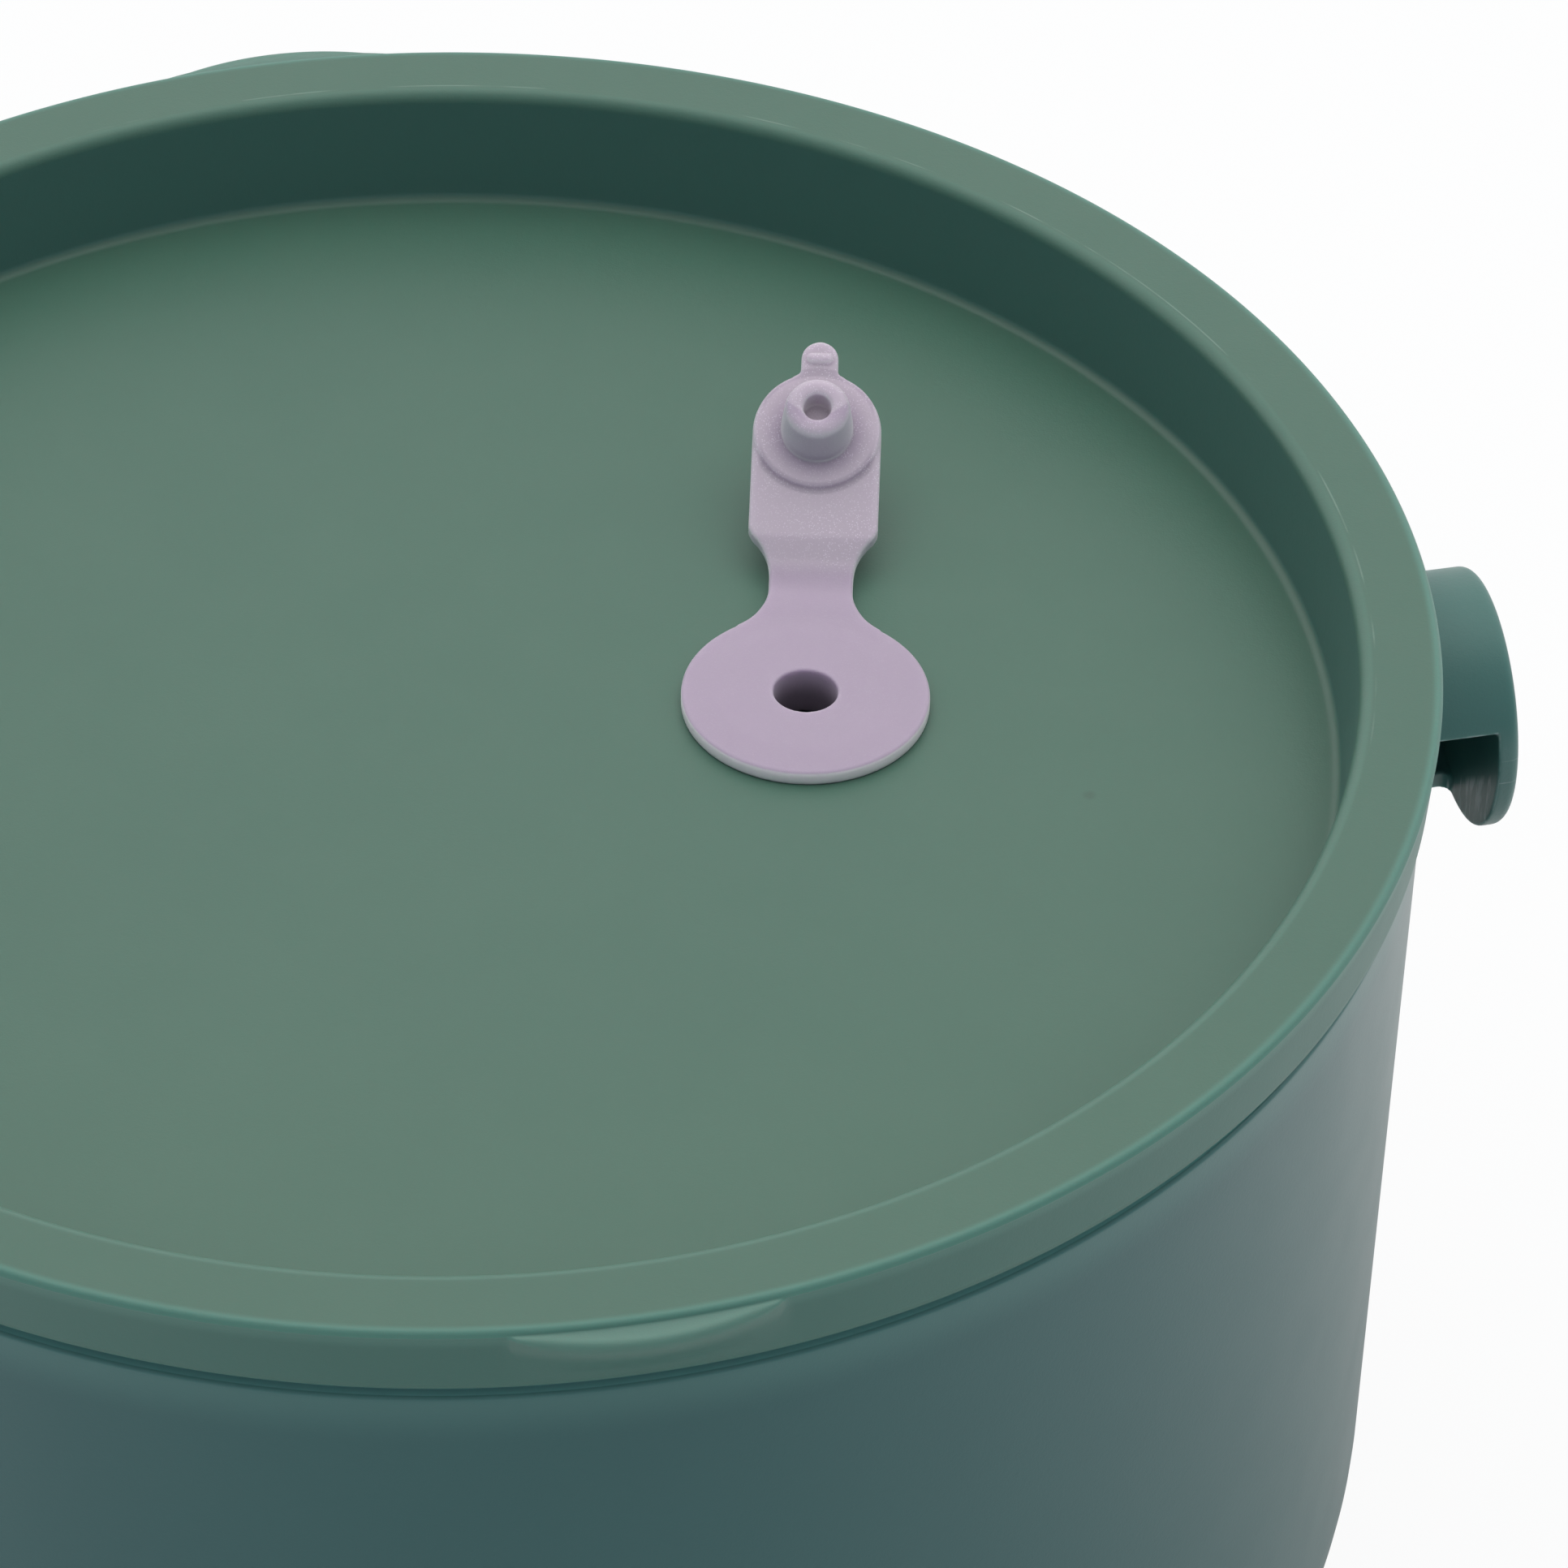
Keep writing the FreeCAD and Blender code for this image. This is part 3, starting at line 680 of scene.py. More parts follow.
@dataclass(frozen=True)
class LidMoulding(Moulding):
    """The lid's plastic: painted light and shade at its edges, and a fine witness line on the rim.
    """

    # Painted highlight along the rim's inner rounding, stronger towards the front.
    inner_edge: Zone = Zone((0.095, 0.215, 0.168), Band(88.0, 0.35, 0.4), Reach(122.0, 123.2))
    inner_highlight_reach: Reach = Reach(-75.0, 0.0)
    inner_highlight_shares: Point2 = (0.35, 0.2)
    # Painted shade tint: the lower recess wall is bluer, as in cool shade.
    wall: Zone = Zone((0.051, 0.140, 0.116), Band(86.9, 0.5, 0.3), Reach(122.5, 123.5), False)
    # Painted glow under the skirt's foot, as if lit through the thin plastic.
    groove: Zone = Zone((0.20, 0.38, 0.34), Band(93.2, 1.2, 0.1), Reach(116.75, 116.9), False)
    # Painted shade tint: the skirt's outer face is darker and bluer-green, as in the dim front
    # light.
    skirt: Zone = Zone((0.048, 0.160, 0.125), Reach(94.5, 94.6), Reach(122.5, 123.5), False)
    # Painted glow on the rim's outer rounding, as if lit through the thin edge.
    rim: Zone = Zone((0.078, 0.210, 0.165), Band(95.2, 0.35, 0.8), Reach(121.9, 123.1), share=0.9)
    # Painted light on the faces of the lift tabs.
    tab: Zone = Zone((0.090, 0.200, 0.158), Reach(95.35, 95.5), Reach(120.8, 122.4))
    witness: Zone = Zone((0.22, 0.33, 0.28), Band(88.85, 0.03, 0.1), Reach(123.0, 123.5))
    witness_reach: Reach = Reach(-50.0, -10.0)
    witness_patches: Patches = Patches(90.0, 4.0, 0.48, 0.62, most=0.45)
    spot: Colour = (0.02, 0.045, 0.032)
    spot_reach: Reach = Reach(0.2, 0.9)
    spot_shares: Point2 = (0.35, 0.0)
    spots: tuple[Point3, ...] = ((0.0587, -0.0210, 0.1112), (-0.0420, 0.0300, 0.1112))

    def details(self, graph: Graph, place: Socket, colour: Socket) -> Socket:
        """Add painted light and shade at edges and walls, the witness line and a few dark spots.

        Args:
            graph: The graph that takes the nodes.
            place: The texture place.
            colour: The colour so far.

        Returns:
            The colour's socket.
        """
        x, y, z = graph.parts(place)
        radius = graph.length(x, y)
        # Painted highlight along the rim's inner rounding, stronger towards the front.
        inner = graph.product(graph.zone(radius, z, self.inner_edge),
                              graph.across(y, self.inner_highlight_reach, self.inner_highlight_shares))
        colour = graph.mixed(inner, colour, self.inner_edge.colour)
        # Painted light and shade: shade tints on the recess wall and skirt, glow at the skirt's
        # foot and rim, light on the tabs.
        for zone in (self.wall, self.groove, self.skirt, self.rim, self.tab):
            colour = graph.mixed(graph.zone(radius, z, zone), colour, zone.colour)
        line = graph.product(graph.zone(radius, z, self.witness),
                             graph.patches(place, self.witness_patches),
                             graph.above(y, self.witness_reach))
        colour = graph.mixed(line, colour, self.witness.colour)
        for spot in self.spots:
            gap = graph.add("VectorMath", operation="DISTANCE")
            gap.inputs[1].default_value = spot
            graph.link(place, gap.inputs[0])
            mask = graph.across(gap.outputs["Value"], self.spot_reach, self.spot_shares)
            colour = graph.mixed(mask, colour, self.spot)
        return colour


@dataclass(frozen=True)
class TubMoulding(Moulding):
    """The tub's plastic: painted light towards the seam, and a painted glow on the ledge inside
    it.
    """

    # Painted light: the wall grows lighter towards the seam.
    shoulder: Zone = Zone((0.068, 0.175, 0.161), Reach(93.0, 93.2), Reach(109.0, 114.4))
    # Painted glow on the ledge inside the seam, as if lit through the thin top.
    ledge: Zone = Zone((0.17, 0.36, 0.34), Band(93.15, 0.5, 0.15), Reach(114.85, 114.9))
    ledge_top: Reach = Reach(115.4, 115.7)

    def details(self, graph: Graph, place: Socket, colour: Socket) -> Socket:
        """Lighten the wall towards the seam and the ledge inside it with painted light.

        Args:
            graph: The graph that takes the nodes.
            place: The texture place.
            colour: The colour so far.

        Returns:
            The colour's socket.
        """
        x, y, z = graph.parts(place)
        radius = graph.length(x, y)
        # Painted light towards the seam, and painted glow on the ledge.
        colour = graph.mixed(graph.zone(radius, z, self.shoulder), colour, self.shoulder.colour)
        ledge = graph.product(graph.zone(radius, z, self.ledge), graph.below(z, self.ledge_top))
        return graph.mixed(ledge, colour, self.ledge.colour)


@dataclass(frozen=True)
class EarMoulding(Moulding):
    """The ears' plastic: scratches with a painted reflection inside the disc, light mould lines
    and painted highlights on its edges.
    """

    height: float = 98.9
    facing_in: float = -0.05
    inner_face: Band = Band(102.9, 0.2, 0.2)
    # Scratch colour, lightened as a painted reflection of the bright floor; above a slanted
    # painted shadow line it is left dark.
    scuff_and_reflection: Colour = (0.44, 0.46, 0.46)
    shadow_line_slant: float = 0.86
    shadow_line_reach: Reach = Reach(87.5, 88.7)
    streaks: Patches = Patches(190.0, 4.0, 0.47, 0.60, 0.05, 1.0)
    streak_scale: Point3 = (1.0, 5.0, 1.0)
    streak_turn: Point3 = (0.25, 0.0, 0.0)
    # Colour of the light mould lines, and of the painted highlights on the disc's inner rim and
    # the notch's cut edge.
    light: Colour = (0.24, 0.33, 0.31)
    broken: Patches = Patches(420.0, 3.0, 0.40, 0.55, 0.1, 0.8)
    ragged_scale: float = 900.0
    ragged_detail: float = 2.0
    ragged_height: float = 0.25
    outer_radius: Reach = Reach(12.65, 12.75)
    mould_lines: tuple[Band, ...] = (Band(101.22, 0.02, 0.07), Band(98.57, 0.02, 0.07))
    disc_side: Reach = Reach(102.95, 103.1)
    rim: Band = Band(102.98, 0.05, 0.1)
    rim_top: Reach = Reach(103.8, 104.0)
    cut_place: Point2 = (-11.97, 103.98)
    cut_reach: Reach = Reach(0.12, 0.3)
    cut_side: Reach = Reach(102.8, 102.9)

    def scuffs_and_reflection(self, graph: Graph, place: Socket) -> Socket:
        """Lighten scratches on the low part of the end disc's inner face as a painted reflection,
        up to a painted shadow line.

        Args:
            graph: The graph that takes the nodes.
            place: The texture place.

        Returns:
            The mask's socket.
        """
        x, y, z = graph.parts(place)
        toward_axis = graph.product(graph.normal(0), x)
        inward = graph.math("LESS_THAN", toward_axis, self.facing_in)
        squeeze = graph.add("Mapping")
        squeeze.inputs["Scale"].default_value = self.streak_scale
        squeeze.inputs["Rotation"].default_value = self.streak_turn
        graph.link(place, squeeze.inputs["Vector"])
        # A slanted painted shadow line from the shell: the painted reflection shows only below it.
        slanted = graph.math("MULTIPLY_ADD", y, self.shadow_line_slant, z)
        return graph.product(
            inward, graph.near(graph.math("ABSOLUTE", x), self.inner_face),
            graph.below(slanted, self.shadow_line_reach),
            graph.patches(squeeze.outputs["Vector"], self.streaks),
        )

    def details(self, graph: Graph, place: Socket, colour: Socket) -> Socket:
        """Add the scratches with their painted reflection, the mould lines and painted highlights
        at the opening.

        Args:
            graph: The graph that takes the nodes.
            place: The texture place.
            colour: The colour so far.

        Returns:
            The colour's socket.
        """
        # Scratches with a painted reflection on the disc's inner face.
        colour = graph.mixed(self.scuffs_and_reflection(graph, place), colour, self.scuff_and_reflection)
        x, y, z = graph.parts(place)
        out = graph.math("ABSOLUTE", x)
        radius = graph.length(y, graph.math("SUBTRACT", z, self.height * MM))
        broken = graph.patches(place, self.broken)
        rough = graph.noise(place, self.ragged_scale, self.ragged_detail)
        ragged = graph.math("MULTIPLY_ADD", rough, self.ragged_height * MM, z)
        front = graph.product(graph.above(radius, self.outer_radius),
                              graph.math("LESS_THAN", y, 0.0))
        for line in self.mould_lines:
            mask = graph.product(graph.near(ragged, line), front,
                                 graph.above(out, self.disc_side), broken)
            colour = graph.mixed(mask, colour, self.light)
        # Painted highlights along the disc's inner rim and the cut edge of the notch.
        rim = graph.product(graph.near(out, self.rim), front, graph.below(z, self.rim_top), broken)
        from_cut = graph.length(graph.math("SUBTRACT", y, self.cut_place[0] * MM),
                                graph.math("SUBTRACT", z, self.cut_place[1] * MM))
        cut = graph.product(graph.below(from_cut, self.cut_reach),
                            graph.below(out, self.cut_side), broken)
        return graph.mixed(graph.math("MAXIMUM", rim, cut), colour, self.light)


@dataclass(frozen=True)
class StopperMoulding(Moulding):
    """The stopper's silicone: painted sheen and glints, a lighter raised part, and painted shade
    round the nose and in the bore.
    """

    vent: Point2 = (34.9, -2.5)
    azimuth: float = 75.6
    plug: float = 30.64
    foreshortening: float = 0.8988
    raised: Reach = Reach(112.95, 114.3)
    # Painted light on the raised part, offsetting its tilt away from the lamp, with some dust.
    dust_and_painted_light: Colour = (0.475, 0.41, 0.475)
    # Painted shade in a ring round the foot of the nose.
    foot: Colour = (0.31, 0.24, 0.34)
    foot_shade_edge: Reach = Reach(3.35, 3.65)
    foot_shade_reach: Reach = Reach(3.6, 5.6)
    foot_shade_shares: Point2 = (0.5, 0.0)
    # Painted shadow line under the step of the raised disc.
    shade: Colour = (0.22, 0.18, 0.24)
    step: Band = Band(6.3, 0.3, 0.3)
    step_side: Reach = Reach(5.2, 5.9)
    step_shade_share: float = 0.35
    # Painted sheen: steep faces turn paler.
    edge: Colour = (0.72, 0.71, 0.71)
    painted_sheen_tilt: Point2 = (0.05, 0.8)
    painted_sheen_shares: Point2 = (0.95, 0.0)
    painted_sheen_loss: float = 0.38
    # Painted glints: fine light specks, stronger on the raised part.
    painted_glint_colour: Colour = (0.85, 0.80, 0.88)
    glints: Specks = Specks(5600.0, 0.40, 0.5)
    glint_patches: Patches = Patches(160.0, 2.0, 0.4, 0.6, 0.5, 1.0)
    glint_gain: float = 0.4
    glint_least: float = 0.05
    bore: Reach = Reach(3.3, 3.6)
    # Painted shade that darkens the bore towards its bottom.
    painted_bore_shade: Colour = (0.105, 0.086, 0.118)
    painted_bore_shade_reach: Reach = Reach(109.4, 112.9)
    painted_bore_shade_shares: Point2 = (0.85, 0.0)

    def from_plug(self, graph: Graph, east: Socket, north: Socket) -> tuple[Socket, Socket]:
        """Measure from the middle of the raised disc, in its own plane.

        Args:
            graph: The graph that takes the nodes.
            east: The distance from the bore along X, in metres.
            north: The distance from the bore along Y, in metres.

        Returns:
            The sockets of the distances along and across the strap, in metres.
        """
        cos, sin = math.cos(math.radians(self.azimuth)), math.sin(math.radians(self.azimuth))
        along = graph.math("ADD", graph.product(east, cos), graph.product(north, sin))
        sideways = graph.math("SUBTRACT", graph.product(north, cos), graph.product(east, sin))
        past = graph.math("SUBTRACT", along, self.plug * MM)
        return graph.product(past, 1 / self.foreshortening), sideways

    def details(self, graph: Graph, place: Socket, colour: Socket) -> Socket:
        """Add the lighter raised part, painted sheen, painted glints and painted shade round the
        nose and in the bore.

        Args:
            graph: The graph that takes the nodes.
            place: The texture place.
            colour: The colour so far.

        Returns:
            The colour's socket.
        """
        x, y, z = graph.parts(place)
        # Painted light on the raised part, with some dust.
        raised = graph.above(z, self.raised)
        colour = graph.mixed(raised, colour, self.dust_and_painted_light)
        east = graph.math("SUBTRACT", x, self.vent[0] * MM)
        north = graph.math("SUBTRACT", y, self.vent[1] * MM)
        inside = graph.below(graph.length(east, north), self.bore)
        past, sideways = self.from_plug(graph, east, north)
        from_nose = graph.length(past, sideways)
        # Painted shade round the foot of the nose.
        foot = graph.product(graph.above(from_nose, self.foot_shade_edge),
                             graph.across(from_nose, self.foot_shade_reach, self.foot_shade_shares), raised)
        colour = graph.mixed(foot, colour, self.foot)
        # Painted shadow line under the step of the raised disc.
        step = graph.product(graph.near(from_nose, self.step),
                             graph.below(graph.math("ABSOLUTE", sideways), self.step_side), raised)
        # Painted sheen on steep faces; weaker on the raised part, none in the bore or on the step.
        tilt = graph.math("ABSOLUTE", graph.normal(2))
        painted_sheen = graph.product(graph.ranged(tilt, *self.painted_sheen_tilt, *self.painted_sheen_shares),
                             graph.math("SUBTRACT", 1.0, inside),
                             graph.math("MULTIPLY_ADD", raised, -self.painted_sheen_loss, 1.0),
                             graph.math("SUBTRACT", 1.0, step))
        colour = graph.mixed(painted_sheen, colour, self.edge)
        colour = graph.mixed(graph.product(step, self.step_shade_share), colour, self.shade)
        # Painted glints, stronger on the raised part.
        much = graph.math("MULTIPLY_ADD", raised, self.glint_gain, self.glint_least)
        glints = graph.product(graph.specks(place, self.glints),
                               graph.patches(place, self.glint_patches), much)
        colour = graph.mixed(glints, colour, self.painted_glint_colour)
        # Painted shade down the bore.
        painted_bore_shade = graph.product(inside, graph.across(z, self.painted_bore_shade_reach, self.painted_bore_shade_shares))
        return graph.mixed(painted_bore_shade, colour, self.painted_bore_shade)


LID_FINISH = LidMoulding(
    name="fine_matte_sage_plastic", colour=(0.056, 0.138, 0.096), mottle=(0.052, 0.133, 0.093),
    speck=(0.30, 0.36, 0.32), specks=Specks(52.0, 0.009, 0.35), roughness=0.47,
    gloss_spread=0.015, specular=0.85, grain_scale=5200.0, grain_height=0.000012,
    glow=0.5, glow_radius=(0.3, 1.0, 0.9), glow_depth=0.0016,
)
TUB_FINISH = TubMoulding(
    name="satin_blue_green_plastic", colour=(0.042, 0.129, 0.124), mottle=(0.039, 0.124, 0.121),
    speck=(0.25, 0.32, 0.31), specks=Specks(46.0, 0.008, 0.25), roughness=0.30,
    gloss_spread=0.012, specular=0.5, grain_scale=5200.0, grain_height=0.000010,
    glow=0.3, glow_radius=(0.35, 1.0, 0.9), glow_depth=0.0018,
)
EAR_FINISH = EarMoulding(
    name="satin_blue_green_plastic_of_the_ears", colour=(0.066, 0.170, 0.150),
    mottle=(0.061, 0.162, 0.144), speck=(0.25, 0.32, 0.31), specks=Specks(170.0, 0.012, 0.3),
    roughness=0.38, gloss_spread=0.03, specular=0.6, grain_scale=5200.0, grain_height=0.000014,
    glow=0.4, glow_radius=(0.35, 1.0, 0.9), glow_depth=0.0018,
)
SEAL_FINISH = Moulding(
    name="translucent_seal_silicone", colour=(0.70, 0.70, 0.67), mottle=(0.66, 0.66, 0.63),
    speck=(0.5, 0.5, 0.47), specks=Specks(60.0, 0.01, 0.3), roughness=0.45,
    gloss_spread=0.05, grain_scale=4200.0, grain_height=0.00001,
    glow=0.5, glow_radius=(1.0, 1.0, 0.9), glow_depth=0.0015,
)
STOPPER_FINISH = StopperMoulding(
    name="matte_lilac_silicone", colour=(0.405, 0.330, 0.422), mottle=(0.385, 0.316, 0.402),
    speck=(0.12, 0.10, 0.12), specks=Specks(150.0, 0.018, 0.12), roughness=0.6,
    gloss_spread=0.05, grain_scale=5200.0, grain_height=0.00002,
    glow=0.8, glow_radius=(1.0, 0.85, 1.0), glow_depth=0.0022, sheen=0.15,
)


def dress(piece: bpy.types.Object, finish: Moulding) -> None:
    """Give a piece its finish.

    Args:
        piece: The piece.
        finish: Its finish, whose material is made once.
    """
    piece.data.materials.clear()
    made = bpy.data.materials.get(finish.name) or finish.material()
    piece.data.materials.append(made)


# --------------------------------------------------------------------------
# Pieces
# --------------------------------------------------------------------------


@dataclass
class Tub:
    """The tub: drafted wall, round bottom corner, shoulder, neck and lip. Sizes in mm."""

    middle: float = 1.0
    foot_radius: float = 93.043
    shoulder_radius: float = 94.12
    shoulder_height: float = 114.95
    shoulder_round: float = 0.45
    shoulder_lean: float = 0.02
    lean_from: float = 111.0
    lean_round: float = 44.0
    neck_radius: float = 92.8
    neck_round: float = 0.25
    lip_height: float = 120.2
    lip_outer_round: float = 0.5
    lip_inner_round: float = 0.4
    inside_radius: float = 91.25
    inside_foot_radius: float = 90.269
    floor: float = 3.0
    corner: float = 30.0
    wall: float = 2.8
    count: int = 480

    def section(self) -> list[Point2]:
        """Draw the section from the middle of the underside to the middle of the floor inside.

        Returns:
            The points, in mm.
        """
        edge = self.shoulder_radius - self.shoulder_lean
        return rounded([
            Corner(self.middle, 0.0),
            Corner(self.foot_radius, 0.0, self.corner, steps=20),
            Corner(self.shoulder_radius, self.lean_from, self.lean_round, steps=8),
            Corner(edge, self.shoulder_height, self.shoulder_round, steps=7),
            Corner(self.neck_radius, self.shoulder_height, self.neck_round, steps=4),
            Corner(self.neck_radius, self.lip_height, self.lip_outer_round),
            Corner(self.inside_radius, self.lip_height, self.lip_inner_round),
            Corner(self.inside_radius, self.shoulder_height),
            Corner(self.inside_foot_radius, self.floor, self.corner - self.wall, steps=18),
            Corner(self.middle, self.floor),
        ])

    def build(self) -> bpy.types.Object:
        """Build the tub, dress it and let it ride on its body.

        Returns:
            The piece.
        """
        shape = bmesh.new()
        turned(shape, self.section(), self.count)
        piece = finish_mesh("tub_wall_and_floor", shape)
        dress(piece, TUB_FINISH)
        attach(piece, Body.TUB.value)
        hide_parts("tub")
        return piece


@dataclass
class Lid:
    """The lid: recess, rim, skirt, two lift tabs and the seat of the vent. Sizes in mm."""

    radius: float = 95.28
    top: float = 124.0
    rim_outer_round: float = 0.65
    rim_inner_round: float = 1.3
    rim_margin: float = 1.0
    recess_top: float = 87.4
    recess_foot: float = 86.3
    recess_floor: float = 111.2
    recess_round: float = 1.0
    floor_margin: float = 12.0
    floor_shares: tuple[float, ...] = (0.0, 0.02, 0.08, 0.2, 0.35, 0.5, 0.7, 0.87)
    wall: float = 2.2
    underside: float = 109.0
    underside_round: float = 2.0
    skirt_foot: float = 116.6
    skirt_lean: float = 0.5
    skirt_foot_round: float = 0.45
    skirt_lead: float = 1.0
    skirt_inside: float = 93.1
    skirt_inside_round: float = 0.15
    skirt_middle: float = 94.0
    roof: float = 121.8
    roof_round: float = 0.3
    vent: Point2 = (34.9, -2.5)
    vent_radius: float = 5.5
    tab_half_width: float = 13.0
    tab_reach: float = 2.3
    tab_step: float = 0.52
    tab_edge: float = 0.9
    tab_edge_share: float = 0.75
    tab_blend: float = 0.5
    tab_foot: float = 0.3
    tab_zone: float = 9.5
    tab_parts: int = 3
    edge_steps: int = 7
    face_steps: int = 9
    row_gap: float = 0.08
    shelf_gap: float = 0.02
    foot_gap: float = 0.1
    count: int = 480

    @property
    def shelf(self) -> float:
        """The height of the tabs' shelf, a step below the rim, in mm."""
        return self.top - self.tab_step

    def angles(self) -> list[float]:
        """Space the points round the lid, closer together at the lift tabs.

        Returns:
            The angles, in radians.
        """
        found = set()
        for angle in even_angles(self.count):
            at_tab = self.from_tab(angle) < math.radians(self.tab_zone)
            parts = self.tab_parts if at_tab else 1
            found.update(round(angle + FULL_TURN * part / parts / self.count, ANGLE_DIGITS)
                         for part in range(parts))
        return sorted(found)

    @staticmethod
    def from_tab(angle: float) -> float:
        """Return how far an angle is from the nearer of the two tabs."""
        return math.acos(min(1.0, abs(math.sin(angle))))

    def tab_stand(self, angle: float) -> float:
        """Find how far the lift tab stands out of the rim's circle.

        Args:
            angle: The angle round the lid, in radians.

        Returns:
            The distance, in mm, or 0 away from the tabs.
        """
        chord = math.sqrt(self.radius ** 2 - self.tab_half_width ** 2)
        rise = self.radius + self.tab_reach - chord
        bend = (self.tab_half_width ** 2 + rise ** 2) / (2 * rise)
        centre = self.radius + self.tab_reach - bend
        away = self.from_tab(angle)
        inside = bend ** 2 - (centre * math.sin(away)) ** 2
        if inside <= 0:
            return 0.0
        return max(0.0, centre * math.cos(away) + math.sqrt(inside) - self.radius)

    def tab_at(self, angle: float) -> Point3:
        """Measure a tab at an angle.

        Args:
            angle: The angle round the lid, in radians.

        Returns:
            How far it stands out and the rounding of its edge, in mm, and the share of it that
            shows.
        """
        stand = self.tab_stand(angle)
        bend = min(self.tab_edge, self.tab_edge_share * stand)
        return stand, bend, smooth_step(stand / self.tab_blend)

    def skirt_radius(self, height: float) -> float:
        """Find the outer radius of the rim and skirt.

        Args:
            height: The height, in mm.

        Returns:
            The radius, in mm.
        """
        low = self.top - self.rim_outer_round
        if height > low:
            round_in = math.sqrt(max(0.0, self.rim_outer_round ** 2 - (height - low) ** 2))
            return self.radius - self.rim_outer_round + round_in
        return self.radius - self.skirt_lean * (self.top - height) / (self.top - self.skirt_foot)

    def edge_point(self, angle: float, turn: float, plain: float) -> Point2:
        """Find a point of the rounding at a tab's upper edge.

        Args:
            angle: The angle round the lid, in radians.
            turn: How far round the edge the point lies, in radians.
            plain: How far below the shelf it lies away from the tabs, in mm.

        Returns:
            The point of the section at that angle, in mm.
        """
        stand, bend, share = self.tab_at(angle)
        out = self.skirt_radius(self.shelf) + stand - bend * (1 - math.sin(turn))
        drop = bend * (1 - math.cos(turn))
        bare = self.skirt_radius(self.shelf - plain)
        return bare + (out - bare) * share, self.shelf - plain - (drop - plain) * share

    def face_point(self, angle: float, step: float, plain: float) -> Point2:
        """Find a point of the tab's face, which falls back to the skirt.

        Args:
            angle: The angle round the lid, in radians.
            step: How far down the face the point lies, from 0 to 1.
            plain: How far below the shelf the face starts away from the tabs, in mm.

        Returns:
            The point of the section at that angle, in mm.
        """
        stand, bend, share = self.tab_at(angle)
        deepest = self.shelf - self.skirt_foot - self.tab_foot
        start = plain + (bend - plain) * share
        height = self.shelf - start - (deepest - start) * step
        return self.skirt_radius(height) + stand * (1 + math.cos(math.pi * step)) / 2, height

    def tab_rows(self) -> list[Row]:
        """Make the rows from the shelf of a tab down to the foot of the skirt.

        Returns:
            The rows.
        """
        rows: list[Row] = []
        for step in range(self.edge_steps + 1):
            turn = QUARTER_TURN * step / self.edge_steps
            rows.append(partial(self.edge_point, turn=turn, plain=self.row_gap * (step + 1)))
        last = self.row_gap * (self.edge_steps + 1)
        for step in range(1, self.face_steps + 1):
            rows.append(partial(self.face_point, step=step / self.face_steps, plain=last))
        return rows

    def upper_line(self) -> list[Point2]:
        """Draw the section from the recess over the rim down to the tabs' shelf.

        Returns:
            The points, in mm.
        """
        line = rounded([
            Corner(self.recess_foot - self.floor_margin, self.recess_floor),
            Corner(self.recess_foot, self.recess_floor, self.recess_round, steps=9),
            Corner(self.recess_top, self.top, self.rim_inner_round, steps=10),
            Corner(self.radius, self.top, self.rim_outer_round, steps=8),
            Corner(self.radius - self.skirt_lean, self.skirt_foot),
        ])
        return [(r, z) for r, z in line
                if z > self.shelf + self.shelf_gap or r < self.recess_top + self.rim_margin]

    def lower_line(self) -> list[Point2]:
        """Draw the section from the foot of the skirt through the channel to the underside.

        Returns:
            The points, in mm.
        """
        foot = self.radius - self.skirt_lean
        line = rounded([
            Corner(foot, self.skirt_foot + self.skirt_lead),
            Corner(foot, self.skirt_foot, self.skirt_foot_round, steps=6),
            Corner(self.skirt_inside, self.skirt_foot, self.skirt_inside_round, steps=2),
            Corner(self.skirt_inside, self.roof, self.roof_round, steps=3),
            Corner(self.recess_top + self.wall, self.roof, self.roof_round, steps=3),
            Corner(self.recess_foot + self.wall, self.underside, self.underside_round, steps=6),
            Corner(self.recess_foot - self.floor_margin, self.underside),
        ])[1:]
        return [(r, z) for r, z in line
                if z < self.skirt_foot + self.foot_gap or r < self.skirt_middle]

    def floor_rings(self, angles: Sequence[float], height: float,
                    outer: float) -> list[list[Vector]]:
        """Lay rings from the vent's seat out to a circle round the lid's middle.

        Args:
            angles: The angles of the points.
            height: The height of the rings, in mm.
            outer: The radius of the outermost circle, which is left out, in mm.

        Returns:
            The rings, in metres.
        """
        rings = []
        for share in self.floor_shares:
            centre = (self.vent[0] * (1 - share), self.vent[1] * (1 - share))
            point = (self.vent_radius + (outer - self.vent_radius) * share, height)
            rings.append([around(point, angle, centre) for angle in angles])
        return rings

    def build(self) -> bpy.types.Object:
        """Build the lid, dress it and let it ride on its body.

        Returns:
            The piece.
        """
        angles = self.angles()
        upper, lower = self.upper_line(), self.lower_line()
        rows = [fixed(point) for point in upper]
        rows += [fixed((self.skirt_radius(self.shelf), self.shelf)), *self.tab_rows()]
        rows += [fixed(point) for point in lower]
        rings = self.floor_rings(angles, self.recess_floor, upper[0][0])
        rings += [[around(row(angle), angle) for angle in angles] for row in rows]
        rings += self.floor_rings(angles, self.underside, lower[-1][0])[::-1]
        shape = bmesh.new()
        skin(shape, rings, loop=True)
        piece = finish_mesh("lid_recess_rim_and_tabs", shape, Crease.RINGS)
        dress(piece, LID_FINISH)
        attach(piece, Body.LID.value)
        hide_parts("lid")
        return piece


